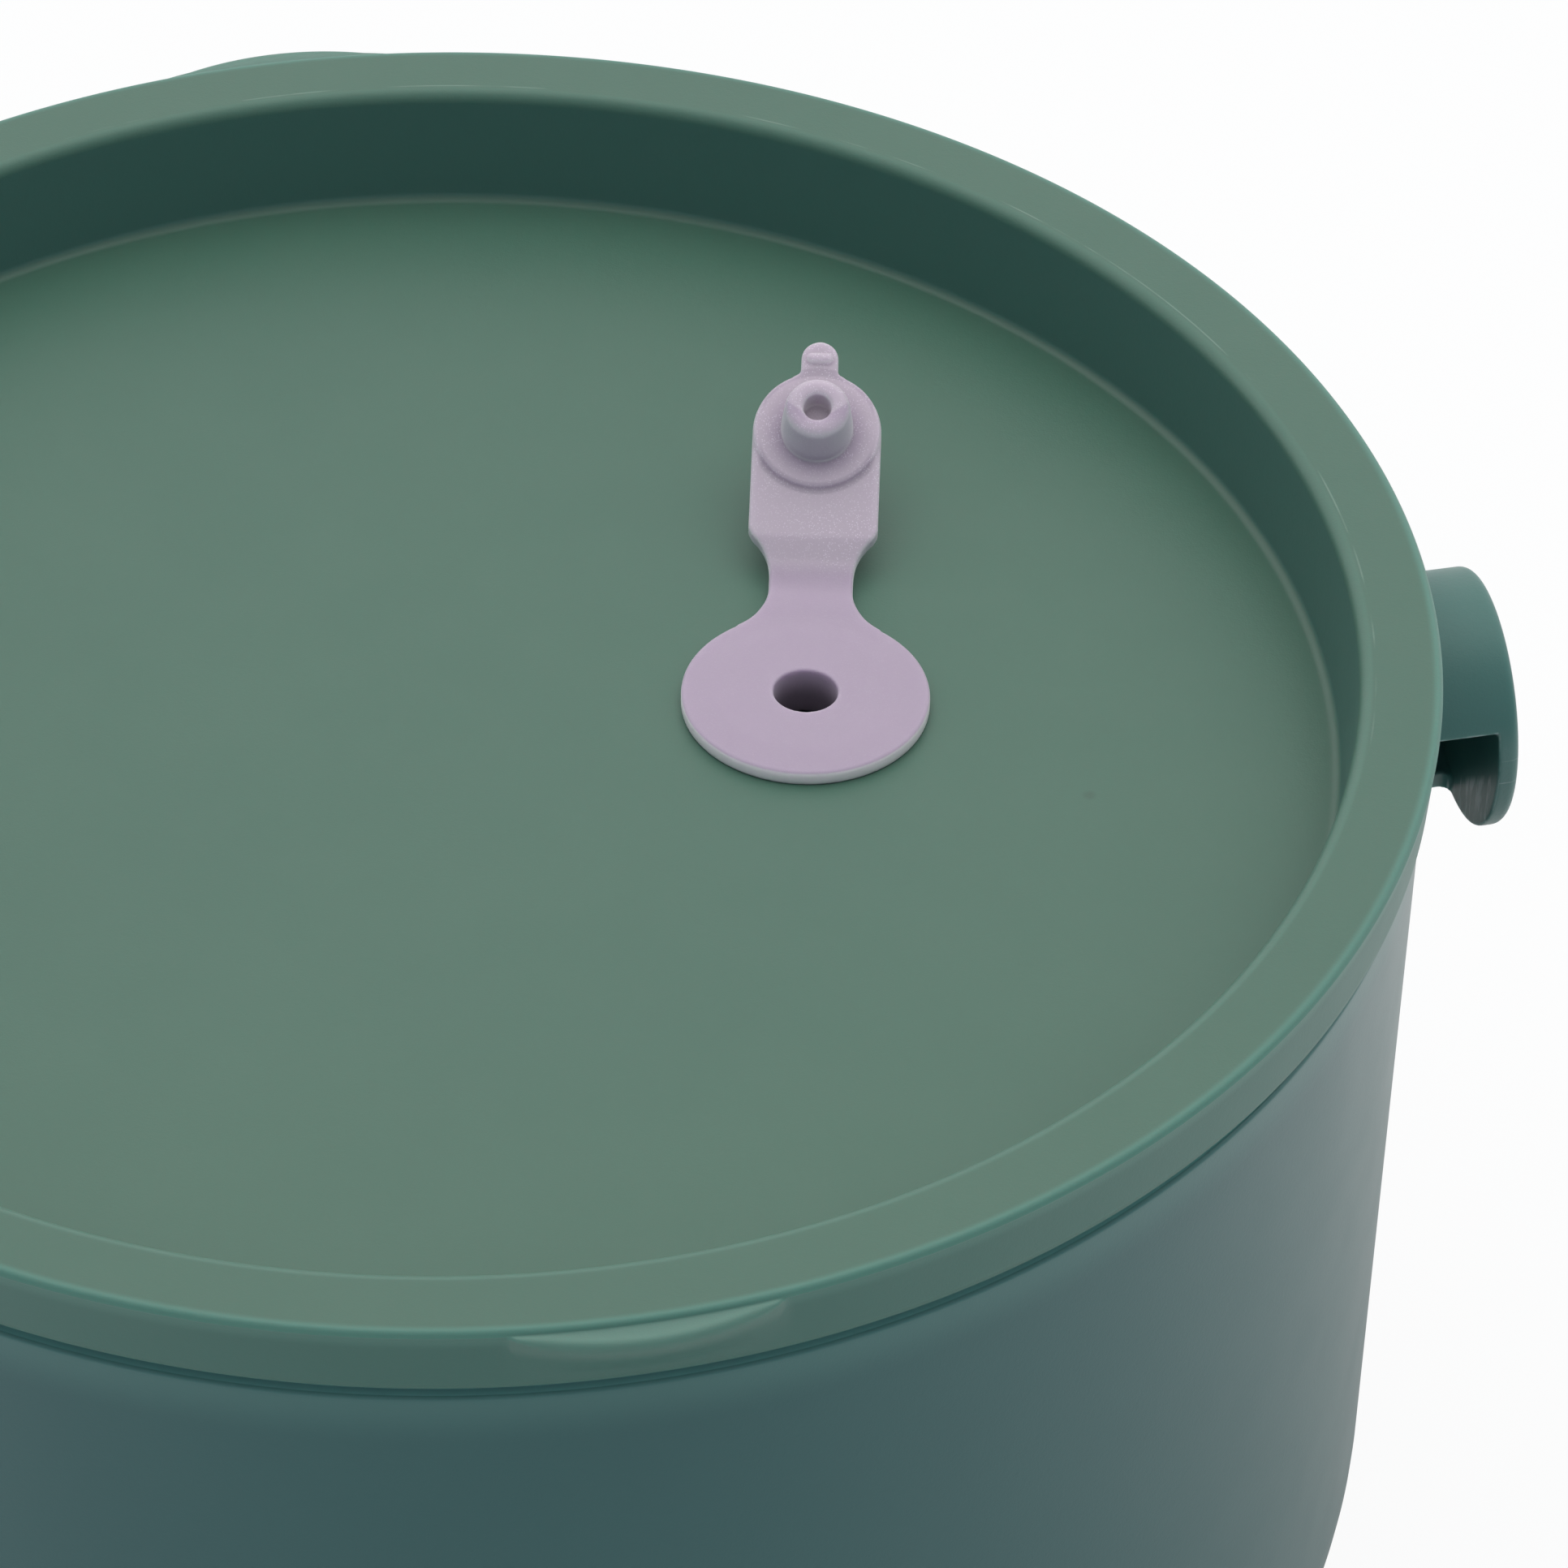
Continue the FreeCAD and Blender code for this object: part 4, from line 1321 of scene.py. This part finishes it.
@dataclass
class Seal:
    """The soft seal ring in the roof of the lid's channel. Sizes in mm."""

    inner: float = 90.4
    outer: float = 92.8
    low: float = 120.2
    high: float = 121.8
    bead: float = 0.35
    groove_half: float = 0.35
    groove_depth: float = 0.3
    groove_round: float = 0.15
    groove_edge: float = 0.1
    count: int = 360

    def build(self) -> bpy.types.Object:
        """Build the seal ring, dress it and let it ride on the lid.

        Returns:
            The piece.
        """
        middle = (self.inner + self.outer) / 2
        line = rounded([
            Corner(self.inner, self.low, self.bead, steps=4),
            Corner(middle - self.groove_half, self.low, self.groove_edge, steps=2),
            Corner(middle, self.low + self.groove_depth, self.groove_round, steps=3),
            Corner(middle + self.groove_half, self.low, self.groove_edge, steps=2),
            Corner(self.outer, self.low, self.bead, steps=4),
            Corner(self.outer, self.high, self.bead, steps=4),
            Corner(self.inner, self.high, self.bead, steps=4),
        ], closed=True)
        shape = bmesh.new()
        turned(shape, line, self.count, loop=True)
        piece = finish_mesh("seal_ring_band", shape, Crease.RINGS)
        dress(piece, SEAL_FINISH)
        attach(piece, Body.LID.value)
        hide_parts("seal_ring")
        return piece


@dataclass
class Stopper:
    """The soft vent stopper: fixed disc with its bore, strap, pad, disc, nose and pull tab.

    It is modelled flat, along its own X axis from the bore, and then bent up at the fold line.
    Sizes in mm, heights above the lid's floor.
    """

    place: Point3 = (34.9, -2.5, 111.2)
    azimuth: float = 75.6
    open_angle: float = 26.0
    disc_radius: float = 12.1
    disc_thickness: float = 1.8
    disc_round: float = 0.3
    disc_fall: float = 0.25
    crown_share: float = 0.72
    crown_round: float = 6.0
    bore_radius: float = 3.15
    bore_round: float = 0.22
    bore_foot_round: float = 0.2
    collar_radius: float = 5.4
    collar_round: float = 0.1
    flange_radius: float = 7.4
    flange_low: float = -3.6
    flange_high: float = -2.2
    flange_round: float = 0.3
    waist: float = 4.15
    waist_run: float = 0.6
    fold: float = 16.2
    fold_height: float = 2.525
    fold_from: float = 14.2
    fold_to: float = 18.6
    bend_from: float = 13.9
    bend_to: float = 18.6
    strap_start: float = 8.0
    strap_step: float = 0.25
    strap_ribs: int = 102
    strap_edge: float = 0.3
    strap_dip: float = 0.12
    dip_run: float = 2.0
    thin_from: float = 13.0
    web: float = 1.75
    lift: float = 0.2
    lift_run: float = 5.0
    pad_start: float = 20.9
    pad_corner: float = 0.8
    pad_half_width: float = 6.4
    pad_thickness: float = 2.4
    pad_ribs: int = 24
    pad_blunt: float = 0.2
    pad_end_gap: float = 0.02
    plug: float = 32.4
    plug_radius: float = 6.3
    plug_low: float = 1.0
    plug_face: float = 2.8
    plug_round: float = 0.22
    nose_low: float = 1.6
    nose_root: float = 3.55
    nose_root_rise: float = 1.2
    nose_root_round: float = 2.0
    nose_shoulder: float = 3.15
    nose_tip: float = 8.1
    nose_crown: float = 0.95
    nose_bore: float = 1.4
    nose_bore_round: float = 0.4
    nose_bottom: float = 5.4
    nose_bottom_round: float = 0.3
    pull_start: float = 4.5
    pull_step: float = 0.1
    pull_sink: float = 0.1
    pull_half_width: float = 1.85
    pull_end: float = 42.1
    pull_fillet: float = 0.7
    pull_edge: float = 0.25
    pull_ribs: int = 14
    pull_blunt: float = 0.03 ** 0.5
    bar: float = 40.2
    bar_half_length: float = 1.25
    bar_half_width: float = 0.45
    bar_top: float = 3.3
    bar_sink: float = 0.4
    bar_edge: float = 0.18
    bar_ribs: int = 16
    bar_blunt: float = 0.006 ** 0.5
    edge_of_half: float = 0.6
    edge_of_height: float = 0.45
    rib_hold: float = 0.0001
    disc_count: int = 240
    plug_count: int = 160
    nose_count: int = 120
    voxel: float = 0.158
    smoothing: int = 2

    @staticmethod
    def round_end(half: float, past: float, blunt: float) -> float:
        """Return the half width of a round end, past the middle of its arc."""
        return math.sqrt(max(blunt ** 2, half ** 2 - past ** 2))

    def half_width(self, x: float) -> float:
        """Find the half width of the strap and pad.

        Args:
            x: The distance from the bore, in mm.

        Returns:
            The half width, in mm.
        """
        near, flat = self.fold - self.waist_run, self.fold + self.waist_run
        if x <= near:
            spread = 2 * (self.disc_radius - self.waist)
            bend = (near ** 2 + self.waist ** 2 - self.disc_radius ** 2) / spread
            touch = near * self.disc_radius / (self.disc_radius + bend)
            return self.waist + bend - math.sqrt(bend ** 2 - (near - max(x, touch)) ** 2)
        if x <= flat:
            return self.waist
        corner = self.pad_half_width - self.pad_corner / 2
        if x <= self.pad_start:
            run, spread = self.pad_start - flat, corner - self.waist
            flare = (run ** 2 + spread ** 2) / (2 * spread)
            return self.waist + flare - math.sqrt(flare ** 2 - (x - flat) ** 2)
        if x <= self.pad_start + self.pad_corner:
            return corner + (x - self.pad_start) / 2
        if x <= self.plug:
            return self.pad_half_width
        return self.round_end(self.pad_half_width, x - self.plug, self.pad_blunt)

    def top_height(self, x: float) -> float:
        """Find the height of the top of the strap and pad.

        Args:
            x: The distance from the bore, in mm.

        Returns:
            The height, in mm.
        """
        if x <= self.thin_from:
            dip = smooth_step((self.thin_from - x) / self.dip_run)
            return self.disc_thickness - self.strap_dip * dip
        if x <= self.bend_to:
            share = smooth_step((x - self.thin_from) / (self.fold - self.thin_from))
            return self.disc_thickness + (self.web - self.disc_thickness) * share
        share = min(1.0, (x - self.bend_to) / (self.pad_start - self.bend_to))
        return self.web + (self.pad_thickness - self.web) * share

    def bottom_height(self, x: float) -> float:
        """Return the height of the underside of the strap and pad at a distance from the bore."""
        return self.lift * smooth_step((x - self.thin_from) / self.lift_run)

    def pull_width(self, x: float) -> float:
        """Find the half width of the pull tab, which flares into the raised disc.

        Args:
            x: The distance from the bore, in mm.

        Returns:
            The half width, in mm.
        """
        half = self.pull_half_width
        straight = self.pull_end - half
        if x > straight:
            return self.round_end(half, x - straight, self.pull_blunt)
        root = self.plug + math.sqrt(self.plug_radius ** 2 - half ** 2) - self.pull_sink
        if x >= root + self.pull_fillet:
            return half
        inside = max(0.0, self.pull_fillet - max(0.0, x - root))
        return half + (self.pull_fillet - math.sqrt(self.pull_fillet ** 2 - inside ** 2))

    def rib(self, x: float, half: float, low: float, high: float, edge: float) -> list[Vector]:
        """Draw a closed rib across the strap, with rounded edges.

        Args:
            x: The rib's distance from the bore, in mm.
            half: Half the width.
            low: The underside's height.
            high: The top's height.
            edge: The rounding.

        Returns:
            The points of the rib, in mm.
        """
        edge = min(edge, half * self.edge_of_half, (high - low) * self.edge_of_height)
        places = ((-half, low), (half, low), (half, high), (-half, high))
        line = rounded([Corner(y, z, edge, steps=3) for y, z in places], closed=True,
                       hold=self.rib_hold)
        return [Vector((x, y, z)) for y, z in line]

    def strap(self, shape: Shape) -> None:
        """Add the strap and the pad as ribs.

        Args:
            shape: The mesh that takes the faces.
        """
        places = [self.strap_start + self.strap_step * step for step in range(self.strap_ribs)]
        places += [self.plug + self.pad_half_width * math.sin(QUARTER_TURN * step / self.pad_ribs)
                   for step in range(self.pad_ribs + 1)]
        last = self.plug + self.pad_half_width - self.pad_end_gap
        places = sorted({round(min(x, last), PLACE_DIGITS) for x in places})
        ribs = [self.rib(x, self.half_width(x), self.bottom_height(x), self.top_height(x),
                         self.strap_edge) for x in places]
        skin(shape, ribs, caps=CAPPED)

    def pull(self, shape: Shape) -> None:
        """Add the pull tab, level with the raised disc.

        Args:
            shape: The mesh that takes the faces.
        """
        start, half = self.plug + self.pull_start, self.pull_half_width
        straight = self.pull_end - half
        places = [start + self.pull_step * step
                  for step in range(int((straight - start) / self.pull_step))]
        places += [straight + half * math.sin(QUARTER_TURN * step / self.pull_ribs)
                   for step in range(self.pull_ribs + 1)]
        ribs = [self.rib(x, self.pull_width(x), self.lift, self.plug_face, self.pull_edge)
                for x in places]
        skin(shape, ribs, caps=CAPPED)

    def grip_bar(self, shape: Shape) -> None:
        """Add the raised bar across the pull tab.

        Args:
            shape: The mesh that takes the faces.
        """
        short = self.bar_half_length - self.bar_half_width
        ribs = []
        for step in range(-self.bar_ribs, self.bar_ribs + 1):
            y = self.bar_half_length * math.sin(QUARTER_TURN * step / self.bar_ribs)
            half = self.bar_half_width
            if abs(y) > short:
                half = self.round_end(half, abs(y) - short, self.bar_blunt)
            rib = self.rib(0.0, half, self.plug_face - self.bar_sink, self.bar_top, self.bar_edge)
            ribs.append([Vector((self.bar + point.y, y, point.z)) for point in rib])
        skin(shape, ribs, caps=CAPPED)

    def disc_line(self) -> list[Point2]:
        """Draw the closed section of the fixed disc with its bore, collar and flange.

        Returns:
            The points, in mm.
        """
        rim = self.disc_thickness - self.disc_fall
        return rounded([
            Corner(self.bore_radius, self.flange_low, self.bore_foot_round, steps=3),
            Corner(self.flange_radius, self.flange_low, self.flange_round, steps=3),
            Corner(self.flange_radius, self.flange_high, self.flange_round, steps=3),
            Corner(self.collar_radius, self.flange_high, self.collar_round, steps=2),
            Corner(self.collar_radius, 0.0, self.collar_round, steps=2),
            Corner(self.disc_radius, 0.0, self.collar_round, steps=2),
            Corner(self.disc_radius, rim, self.disc_round, steps=6),
            Corner(self.disc_radius * self.crown_share, self.disc_thickness, self.crown_round,
                   steps=8),
            Corner(self.bore_radius, self.disc_thickness, self.bore_round, steps=6),
        ], closed=True)

    def plug_line(self) -> list[Point2]:
        """Draw the section of the raised disc that the nose stands on.

        Returns:
            The points, in mm.
        """
        return rounded([
            Corner(0.0, self.plug_low),
            Corner(self.plug_radius, self.plug_low),
            Corner(self.plug_radius, self.plug_face, self.plug_round, steps=4),
            Corner(0.0, self.plug_face),
        ])

    def nose_line(self) -> list[Point2]:
        """Draw the section of the hollow nose.

        Returns:
            The points, in mm.
        """
        root = self.plug_face + self.nose_root_rise
        return rounded([
            Corner(0.0, self.nose_low),
            Corner(self.nose_root, self.nose_low),
            Corner(self.nose_root, root, self.nose_root_round, steps=4),
            Corner(self.nose_shoulder, self.nose_tip, self.nose_crown, steps=12),
            Corner(self.nose_bore, self.nose_tip, self.nose_bore_round),
            Corner(self.nose_bore, self.nose_bottom, self.nose_bottom_round, steps=4),
            Corner(0.0, self.nose_bottom),
        ])

    def flat_parts(self) -> Shape:
        """Gather all the forms of the stopper, flat and overlapping.

        Returns:
            The forms, in mm.
        """
        shape = bmesh.new()
        self.strap(shape)
        self.pull(shape)
        self.grip_bar(shape)
        round_forms = bmesh.new()
        turned(round_forms, self.disc_line(), self.disc_count, loop=True)
        turned(round_forms, self.plug_line(), self.plug_count, (self.plug, 0.0))
        turned(round_forms, self.nose_line(), self.nose_count, (self.plug, 0.0))
        bmesh.ops.scale(round_forms, vec=(1 / MM,) * 3, verts=round_forms.verts)
        loose = bpy.data.meshes.new("round_forms")
        round_forms.to_mesh(loose)
        round_forms.free()
        shape.from_mesh(loose)
        bpy.data.meshes.remove(loose)
        return shape

    def bent(self, point: Vector) -> Vector:
        """Bend a point of the flat stopper up at the fold.

        Args:
            point: The point, in mm.

        Returns:
            Where it lies once the stopper is folded open, in mm.
        """
        share = smooth_step((point.x - self.bend_from) / (self.bend_to - self.bend_from))
        angle = math.radians(self.open_angle) * share
        along, up = point.x - self.fold, point.z - self.fold_height
        return Vector((
            self.fold + along * math.cos(angle) - up * math.sin(angle), point.y,
            self.fold_height + along * math.sin(angle) + up * math.cos(angle),
        ))

    def placed(self, point: Vector) -> Vector:
        """Return a point of the open stopper in the CAD's frame, in metres."""
        turn = Matrix.Rotation(math.radians(self.azimuth), 3, "Z")
        return (turn @ point + Vector(self.place)) * MM

    def build(self) -> bpy.types.Object:
        """Build the stopper as one soft skin, bent open at its fold and set in place.

        Returns:
            The piece.
        """
        shape = fuse("vent_stopper_forms", self.flat_parts(), self.voxel, self.smoothing)
        for vertex in shape.verts:
            vertex.co = self.placed(self.bent(vertex.co))
        piece = finish_mesh("vent_stopper_soft", shape, Crease.SOFT)
        dress(piece, STOPPER_FINISH)
        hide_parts("vent_grommet", "vent_stopper")
        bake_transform(piece)
        return piece


@dataclass
class Ear:
    """An ear of the tub: a round shell open to the lower front, with an end disc. Sizes in mm."""

    side: Side
    height: float = 98.9
    radius: float = 13.0
    wall: float = 2.2
    root: float = 92.4
    inner_face: float = 102.9
    outer_face: float = 105.1
    inner_edge: float = 0.2
    outer_edge: float = 0.9
    notch: float = 157.0
    tail: float = -84.0
    tail_round: float = 1.2
    tail_steps: int = 8
    tail_sink: float = 0.4
    overlap: float = 0.6
    inset: float = 0.05
    shell_steps: int = 120
    disc_count: int = 200
    voxel: float = 0.18
    smoothing: int = 3

    def point(self, angle: float, radius: float, x: float) -> Vector:
        """Return the point at an angle from the back, a radius and a place along the axis."""
        up = self.height + radius * math.sin(angle)
        return Vector((x, radius * math.cos(angle), up))

    def shell(self, shape: Shape) -> None:
        """Add the curved shell, from its tail over the back and the top to the notch.

        Args:
            shape: The mesh that takes the faces.
        """
        first, last = math.radians(self.tail), math.radians(self.notch)
        inside, outside = self.radius - self.wall, self.radius
        end = self.inner_face + self.overlap
        corners = ((inside, self.root), (inside, end), (outside, end), (outside, self.root))
        angles = [first + (last - first) * step / self.shell_steps
                  for step in range(self.shell_steps + 1)]
        ribs = [[self.point(angle, radius, x) for radius, x in corners] for angle in angles]
        skin(shape, ribs, caps=CAPPED)

    def disc(self, shape: Shape) -> None:
        """Add the end disc with its rounded outer edge.

        Args:
            shape: The mesh that takes the faces.
        """
        line = rounded([
            Corner(AXIS_RADIUS, self.inner_face),
            Corner(self.radius, self.inner_face, self.inner_edge, steps=3),
            Corner(self.radius, self.outer_face, self.outer_edge, steps=8),
            Corner(AXIS_RADIUS, self.outer_face),
        ])
        angles = even_angles(self.disc_count)
        rings = [[self.point(angle, radius, x) for angle in angles] for radius, x in line]
        skin(shape, rings, caps=CAPPED)

    def fillet(self, shape: Shape) -> None:
        """Add the rounding between the shell's lower edge and the disc.

        Args:
            shape: The mesh that takes the faces.
        """
        angle, bend = math.radians(self.tail), self.tail_round
        along = Vector((0.0, math.sin(angle), -math.cos(angle)))
        outline = [(self.tail_sink, -self.overlap), (self.tail_sink, bend)]
        for step in range(self.tail_steps + 1):
            turn = QUARTER_TURN * step / self.tail_steps
            outline.append((-bend * (1 - math.cos(turn)), bend * (1 - math.sin(turn))))
        outline.append((-bend, -self.overlap))
        ribs = []
        for radius in (self.radius - self.wall + self.inset, self.radius - self.inset):
            base = self.point(angle, radius, self.inner_face)
            ribs.append([base + Vector((x, 0.0, 0.0)) + along * down for x, down in outline])
        skin(shape, ribs, caps=CAPPED)

    def build(self) -> bpy.types.Object:
        """Build the ear, dress it and let it ride on the tub.

        Returns:
            The piece.
        """
        forms = bmesh.new()
        self.shell(forms)
        self.disc(forms)
        self.fillet(forms)
        shape = fuse("ear_forms", forms, self.voxel, self.smoothing)
        for vertex in shape.verts:
            x, y, z = vertex.co
            vertex.co = Vector((x * self.side.value, y, z)) * MM
        side = self.side.name.lower()
        piece = finish_mesh(f"ear_shell_and_disc_{side}", shape, Crease.SOFT)
        dress(piece, EAR_FINISH)
        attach(piece, Body.TUB.value)
        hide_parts(f"ear_{side}")
        return piece


# --------------------------------------------------------------------------
# Studio
# --------------------------------------------------------------------------


@dataclass
class Viewpoint:
    """The camera: where it stands round the middle of the lid's rim, and how it is turned.

    Lengths in metres, angles in degrees, the lens and the sensor in mm.
    """

    target: Point3 = (0.0, 0.0, 0.124)
    distance: float = 0.76
    azimuth: float = -10.2
    elevation: float = 39.69
    pan: float = -2.424
    tilt: float = -1.129
    roll: float = 0.613
    lens: float = 182.35
    sensor: float = 36.0
    nearest: float = 0.01
    farthest: float = 60.0

    def build(self) -> None:
        """Create the camera and make it the scene's."""
        level = math.radians(self.elevation)
        back = Vector((0.0, -math.cos(level), math.sin(level)))
        forward, right = -back, Vector((1.0, 0.0, 0.0))
        up = right.cross(forward)
        pan = Matrix.Rotation(math.radians(self.pan), 3, up)
        forward, right = pan @ forward, pan @ right
        tilt = Matrix.Rotation(math.radians(self.tilt), 3, right)
        forward, up = tilt @ forward, tilt @ up
        roll = Matrix.Rotation(math.radians(self.roll), 3, forward)
        right, up = roll @ right, roll @ up
        about = Matrix.Rotation(math.radians(self.azimuth), 3, "Z")
        frame = Matrix((about @ right, about @ up, about @ -forward)).transposed()
        data = bpy.data.cameras.new("photo_view")
        data.lens = self.lens
        data.sensor_width = self.sensor
        data.clip_start, data.clip_end = self.nearest, self.farthest
        camera = bpy.data.objects.new("photo_view", data)
        place = Matrix.Translation(Vector(self.target) + about @ back * self.distance)
        camera.matrix_world = place @ frame.to_4x4()
        bpy.context.scene.collection.objects.link(camera)
        bpy.context.scene.camera = camera


@dataclass(frozen=True)
class Softbox:
    """A soft rectangular lamp. Lengths in metres, power in watts."""

    name: str
    place: Point3
    aim: Point3
    size: Point2
    power: float
    colour: Colour = WHITE

    def hang(self) -> None:
        """Hang the lamp, out of sight of gloss."""
        data = bpy.data.lights.new(self.name, "AREA")
        data.shape = "RECTANGLE"
        data.size, data.size_y = self.size
        data.energy = self.power
        data.color = self.colour
        lamp = bpy.data.objects.new(self.name, data)
        lamp.location = self.place
        lamp.rotation_mode = "QUATERNION"
        way = Vector(self.aim) - Vector(self.place)
        lamp.rotation_quaternion = way.to_track_quat("-Z", "Y")
        lamp.visible_glossy = False
        bpy.context.scene.collection.objects.link(lamp)


@dataclass
class Studio:
    """Pale floor, a soft lamp and a white surround that dims towards the front. Metres."""

    floor_size: float = 8.0
    floor_parts: int = 8
    floor_colour: Colour = (0.74, 0.75, 0.76)
    floor_roughness: float = 0.9
    floor_specular: float = 0.1
    floor_white: float = 0.92
    floor_gloss: float = 0.95
    floor_front: float = 0.2
    dim_spot: Point2 = (-0.04, -0.32)
    dim_reach: Point2 = (-0.03, 0.42)
    shadow_reach: Point2 = (0.09, 0.21)
    shadow_shares: Point2 = (0.55, 1.0)
    back: Colour = WHITE
    front: Colour = (0.17, 0.235, 0.345)
    bright_way: Point3 = (0.08, 0.22, 0.97)
    bright_reach: Point2 = (-0.1, 0.8)
    mirrored_back: Colour = WHITE
    mirrored_front: Colour = (0.12, 0.15, 0.18)
    mirrored_way: Point3 = (0.15, 0.94, 0.30)
    mirrored_reach: Point2 = (-0.2, 0.55)
    overhead: Softbox = Softbox("overhead_softbox", (0.05, 0.18, 1.35), (0.0, 0.0, 0.1),
                                (1.6, 1.2), 7.3)

    @staticmethod
    def towards(graph: Graph, way: Socket, aim: Point3, reach: Point2) -> Socket:
        """Find how far a direction points along an aim.

        Args:
            graph: The graph that takes the nodes.
            way: The direction.
            aim: The aim, of about unit length.
            reach: The dot products that give 0 and 1.

        Returns:
            The share's socket.
        """
        dot = graph.add("VectorMath", operation="DOT_PRODUCT")
        dot.inputs[1].default_value = aim
        graph.link(way, dot.inputs[0])
        return graph.ranged(dot.outputs["Value"], *reach, 0.0, 1.0)

    def surround(self) -> None:
        """Set the world: white to the camera, soft and directional for the object and gloss."""
        world = bpy.data.worlds.new("surround")
        world.use_nodes = True
        graph = Graph(world.node_tree)
        way = graph.add("TexCoord").outputs["Generated"]
        path = graph.add("LightPath")
        bright = self.towards(graph, way, self.bright_way, self.bright_reach)
        lit = graph.mixed(bright, self.front, self.back)
        mirrored = self.towards(graph, way, self.mirrored_way, self.mirrored_reach)
        shown = graph.mixed(mirrored, self.mirrored_front, self.mirrored_back)
        colour = graph.mixed(path.outputs["Is Glossy Ray"], lit, shown)
        colour = graph.mixed(path.outputs["Is Camera Ray"], colour, WHITE)
        light = graph.add("Background")
        graph.link(colour, light.inputs["Color"])
        output = graph.add("OutputWorld")
        graph.link(light.outputs[0], output.inputs["Surface"])
        bpy.context.scene.world = world

    def floor_glow(self, graph: Graph) -> Socket:
        """Work out the floor's light in gloss: dimmer at the front and in the object's shadow.

        Args:
            graph: The graph that takes the nodes.

        Returns:
            The strength's socket.
        """
        x, y, _ = graph.parts(graph.add("TexCoord").outputs["Object"])
        away = graph.length(*(graph.math("SUBTRACT", part, spot)
                              for part, spot in zip((x, y), self.dim_spot)))
        faded = graph.ranged(away, *self.dim_reach, self.floor_front, self.floor_gloss)
        shadow = graph.ranged(graph.length(x, y), *self.shadow_reach, *self.shadow_shares)
        return graph.product(faded, shadow)

    def floor_material(self) -> bpy.types.Material:
        """Mix the floor's paint with its glow: near white to the camera, with the shadow kept.

        Returns:
            The material.
        """
        made = bpy.data.materials.new("studio_floor_paint")
        made.use_nodes = True
        graph = Graph(made.node_tree)
        paint = graph.add("BsdfPrincipled")
        paint.inputs["Base Color"].default_value = (*self.floor_colour, 1.0)
        paint.inputs["Roughness"].default_value = self.floor_roughness
        paint.inputs["Specular IOR Level"].default_value = self.floor_specular
        path = graph.add("LightPath")
        to_camera, to_gloss = path.outputs["Is Camera Ray"], path.outputs["Is Glossy Ray"]
        white = graph.add("Emission")
        strength = graph.math("MAXIMUM", self.floor_glow(graph), to_camera)
        graph.link(strength, white.inputs["Strength"])
        seen = graph.product(to_camera, self.floor_white)
        both = graph.add("MixShader")
        graph.link(graph.math("MAXIMUM", seen, to_gloss), both.inputs[0])
        graph.link(paint.outputs[0], both.inputs[1])
        graph.link(white.outputs[0], both.inputs[2])
        output = graph.add("OutputMaterial")
        graph.link(both.outputs[0], output.inputs["Surface"])
        return made

    def floor(self) -> None:
        """Lay the floor."""
        shape = bmesh.new()
        bmesh.ops.create_grid(shape, x_segments=self.floor_parts, y_segments=self.floor_parts,
                              size=self.floor_size / 2)
        piece = finish_mesh("studio_floor", shape)
        piece.data.materials.append(self.floor_material())

    def build(self) -> None:
        """Set up the surround, the floor and the lamp."""
        self.surround()
        self.floor()
        self.overhead.hang()


def main() -> None:
    """Build the tub, its lid, seal and stopper round the frame, with camera and studio."""
    logging.basicConfig(level=logging.INFO, format="%(name)s: %(message)s")
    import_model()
    bpy.context.scene.view_settings.view_transform = "Standard"
    Viewpoint().build()
    Studio().build()
    for maker in (Tub(), Ear(Side.RIGHT), Ear(Side.LEFT), Lid(), Seal(), Stopper()):
        piece = maker.build()
        LOG.info("%s: %d faces", piece.name, len(piece.data.polygons))


if __name__ == "__main__":
    main()
